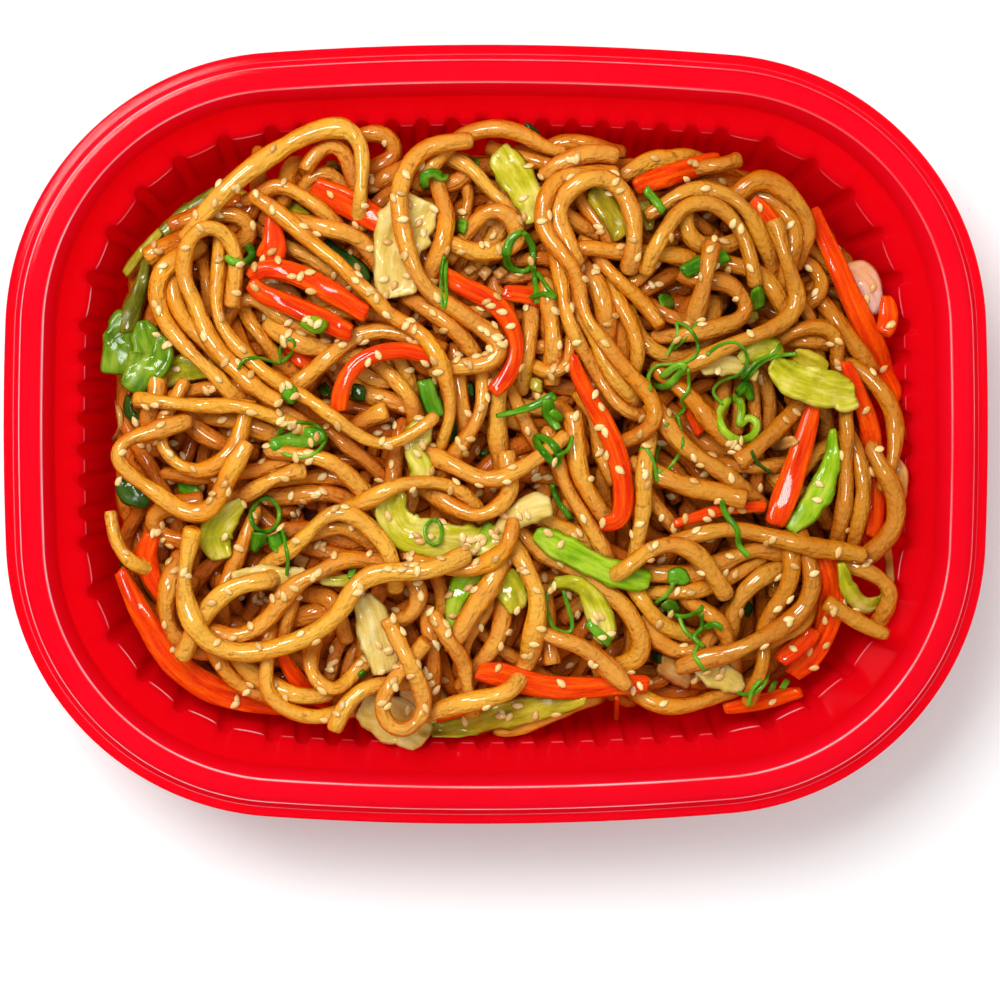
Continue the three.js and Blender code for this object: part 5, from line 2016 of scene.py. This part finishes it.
    @staticmethod
    def slot(node: str) -> str:
        """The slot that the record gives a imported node."""
        kind = node.split("_")[0]
        return "greens" if kind == "scallion" else kind

    @staticmethod
    def blocks(pieces: list[bpy.types.Object], cell: float = 1.3) -> np.ndarray:
        """Points about a millimetre apart over pieces, which strands keep off."""
        points = np.vstack([points_of(piece) for piece in pieces])
        kept = np.unique(np.round(points / cell).astype(int), axis=0, return_index=True)[1]
        return points[kept]


# ---------------------------------------------------------------- seeds


@dataclass
class Sesame:
    """Toasted sesame scattered over the top."""

    tray: Tray
    count: int = 620
    length: float = 3.0
    width: float = 1.8
    thick: float = 1.05
    taper: float = 0.55
    sunk: float = 0.32
    near: float = 2.6
    near_share: float = 0.35
    least_inset: float = 24.0
    least_height: float = 24.0
    flattest: float = 0.5
    seed: int = 21

    def pattern(self) -> tuple[np.ndarray, list]:
        """One seed: a flattened ball drawn out to a point at one end."""
        deselect()
        bpy.ops.mesh.primitive_uv_sphere_add(segments=10, ring_count=6, radius=0.5 * MM)
        ball = bpy.context.object
        points = points_of(ball)
        taper = 1 - self.taper * np.clip(points[:, 0] / 0.5, 0, 1) ** 1.5
        points[:, 1] *= taper * self.width
        points[:, 2] *= taper * self.thick
        points[:, 0] *= self.length
        faces = [list(f.vertices) for f in ball.data.polygons]
        bpy.data.objects.remove(ball)
        return points, faces

    def build(self, pieces: list[bpy.types.Object]) -> bpy.types.Object:
        """Lets seeds lie where a drop from above first lands, some of them in small clusters.

        Args:
            pieces: What they may lie on.

        Returns:
            The seeds, as one piece.
        """
        rng = np.random.default_rng(self.seed)
        points, faces = self.pattern()
        trees = [tree_of(p) for p in pieces]
        all_points, all_faces, tones = [], [], []
        x = y = 0.0
        while len(all_points) < self.count:
            near = rng.uniform() < self.near_share and len(all_points) > 0
            x, y = rng.normal((x, y), self.near) if near else (rng.uniform(-104, 106), rng.uniform(-82, 82))
            off_heap = self.tray.outline.inset(x, y) < self.least_inset
            if off_heap or rng.uniform() > self.density(x, y):
                continue
            hit, normal = self.landing(trees, x, y)
            if hit is None or normal[2] < self.flattest or hit[2] < self.least_height:
                continue
            yaw = rng.uniform(0, 2 * math.pi)
            along = np.array([math.cos(yaw), math.sin(yaw), 0])
            along -= normal * (along @ normal)
            along /= np.linalg.norm(along)
            across = np.cross(normal, along)
            scale = rng.uniform(0.88, 1.1)
            base = hit + normal * self.thick * self.sunk
            shift = len(all_points) * len(points)
            all_points.append(points * scale @ np.array([along, across, normal]) + base)
            all_faces += [[v + shift for v in f] for f in faces]
            tones.append(np.full(len(points), rng.uniform(0, 1)))
        piece = mesh_piece("sesame_seeds", np.vstack(all_points), all_faces)
        paint(piece, "tone", np.concatenate(tones))
        dress(piece, SeedCoat(), "sesame")
        return piece

    @staticmethod
    def landing(trees: list[BVHTree], x: float, y: float) -> tuple[np.ndarray | None, np.ndarray]:
        """Where a drop from above lands, in millimetres, and the normal there."""
        best, facing = None, np.zeros(3)
        for tree in trees:
            hit, normal, _, _ = tree.ray_cast(Vector((x * MM, y * MM, DROP_FROM)), DOWN)
            if hit is not None and (best is None or hit.z > best.z):
                best, facing = hit, np.array(normal)
        return (None if best is None else np.array(best) / MM), facing

    @staticmethod
    def density(x: float, y: float) -> float:
        """How thickly seeds lie: most left of the middle, fewer at the far right."""
        return 0.3 + 0.7 * math.exp(-(((x + 25) / 70) ** 2) - ((y + 8) / 60) ** 2)


# ---------------------------------------------------------------- the studio


@dataclass
class Studio:
    """A pale floor, soft light from the far left, and the camera."""

    floor_size: float = 6.0
    world_light: float = 0.6
    distance: float = 0.9
    lens: float = 126.2
    sensor: float = 36.0
    from_left: float = 3.0
    from_back: float = 1.3
    shift: float = -0.0645
    target: tuple[float, float, float] = (0, 0, 0.046)

    def build(self) -> None:
        """Makes the floor, the lights and the camera."""
        self.floor()
        self.light("key_light", (-0.55, 0.65, 1.35), 0.8, 22.0, "glossy")
        self.light("fill_light", (0.45, -0.35, 1.6), 1.4, 4.0, "glossy")
        self.light("shine_light", (-0.8, 0.8, 1.26), 0.4, 20.0, "diffuse")
        self.light("spark_light", (-0.32, 0.32, 1.55), 0.3, 12.0, "diffuse")
        world = bpy.data.worlds.new("studio")
        world.use_nodes = True
        sky = world.node_tree.nodes["Background"]
        sky.inputs["Color"].default_value = (1, 1, 1, 1)
        sky.inputs["Strength"].default_value = self.world_light
        world.cycles_visibility.glossy = False
        bpy.context.scene.world = world
        bpy.context.scene.view_settings.view_transform = "Standard"
        self.camera()

    def floor(self) -> None:
        """A wide plane under the tray."""
        deselect()
        bpy.ops.mesh.primitive_plane_add(size=self.floor_size, location=(0, 0, 0))
        plane = bpy.context.object
        plane.name = "floor"
        plane.data.materials.append(FloorPaper().material())

    @staticmethod
    def light(name: str, place: tuple[float, float, float], size: float, power: float, unseen: str) -> None:
        """A square lamp that looks at the middle of the tray.

        Args:
            name: Its name.
            place: Where it stands, in metres.
            size: Its side, in metres.
            power: Its power, in watts.
            unseen: The kind of ray that doesn't meet it.
        """
        lamp = bpy.data.lights.new(name, "AREA")
        lamp.size = size
        lamp.energy = power
        made = bpy.data.objects.new(name, lamp)
        setattr(made, f"visible_{unseen}", False)
        made.location = place
        made.rotation_euler = (-Vector(place)).to_track_quat("-Z", "Y").to_euler()
        bpy.context.scene.collection.objects.link(made)

    def camera(self) -> None:
        """A camera almost straight above, a little to the left and behind."""
        data = bpy.data.cameras.new("camera")
        data.lens = self.lens
        data.sensor_width = self.sensor
        data.shift_y = self.shift
        data.clip_start = 0.05
        target = Vector(self.target)
        left, back = math.radians(self.from_left), math.radians(self.from_back)
        offset = Vector((-math.sin(left), math.sin(back), math.cos(left) * math.cos(back)))
        made = bpy.data.objects.new("camera", data)
        made.location = target + offset.normalized() * self.distance
        look = (target - made.location).normalized()
        right = look.cross(Vector((0, 1, 0))).normalized()
        axes = right, right.cross(look), -look
        made.rotation_euler = Matrix([[axis[i] for axis in axes] for i in range(3)]).to_euler()
        bpy.context.scene.collection.objects.link(made)
        bpy.context.scene.camera = made


def main() -> None:
    """Builds every sub-assembly in order."""
    logging.basicConfig(level=logging.INFO, format="%(name)s: %(message)s")
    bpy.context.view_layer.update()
    Studio().build()
    tray = Tray(Outline())
    shell = tray.build()
    vegetables = Vegetables(tray)
    pieces = vegetables.build()
    relief = Ground(step=0.8)
    noodles = Noodles(tray, vegetables.blocks(pieces), relief).build()
    for piece in pieces:
        relief.cover(points_of(piece), relief.step)
    relief.drop_on(shell)
    pieces += vegetables.scatter(relief)
    Sesame(tray).build(noodles[1:] + pieces)


if __name__ == "__main__":
    main()
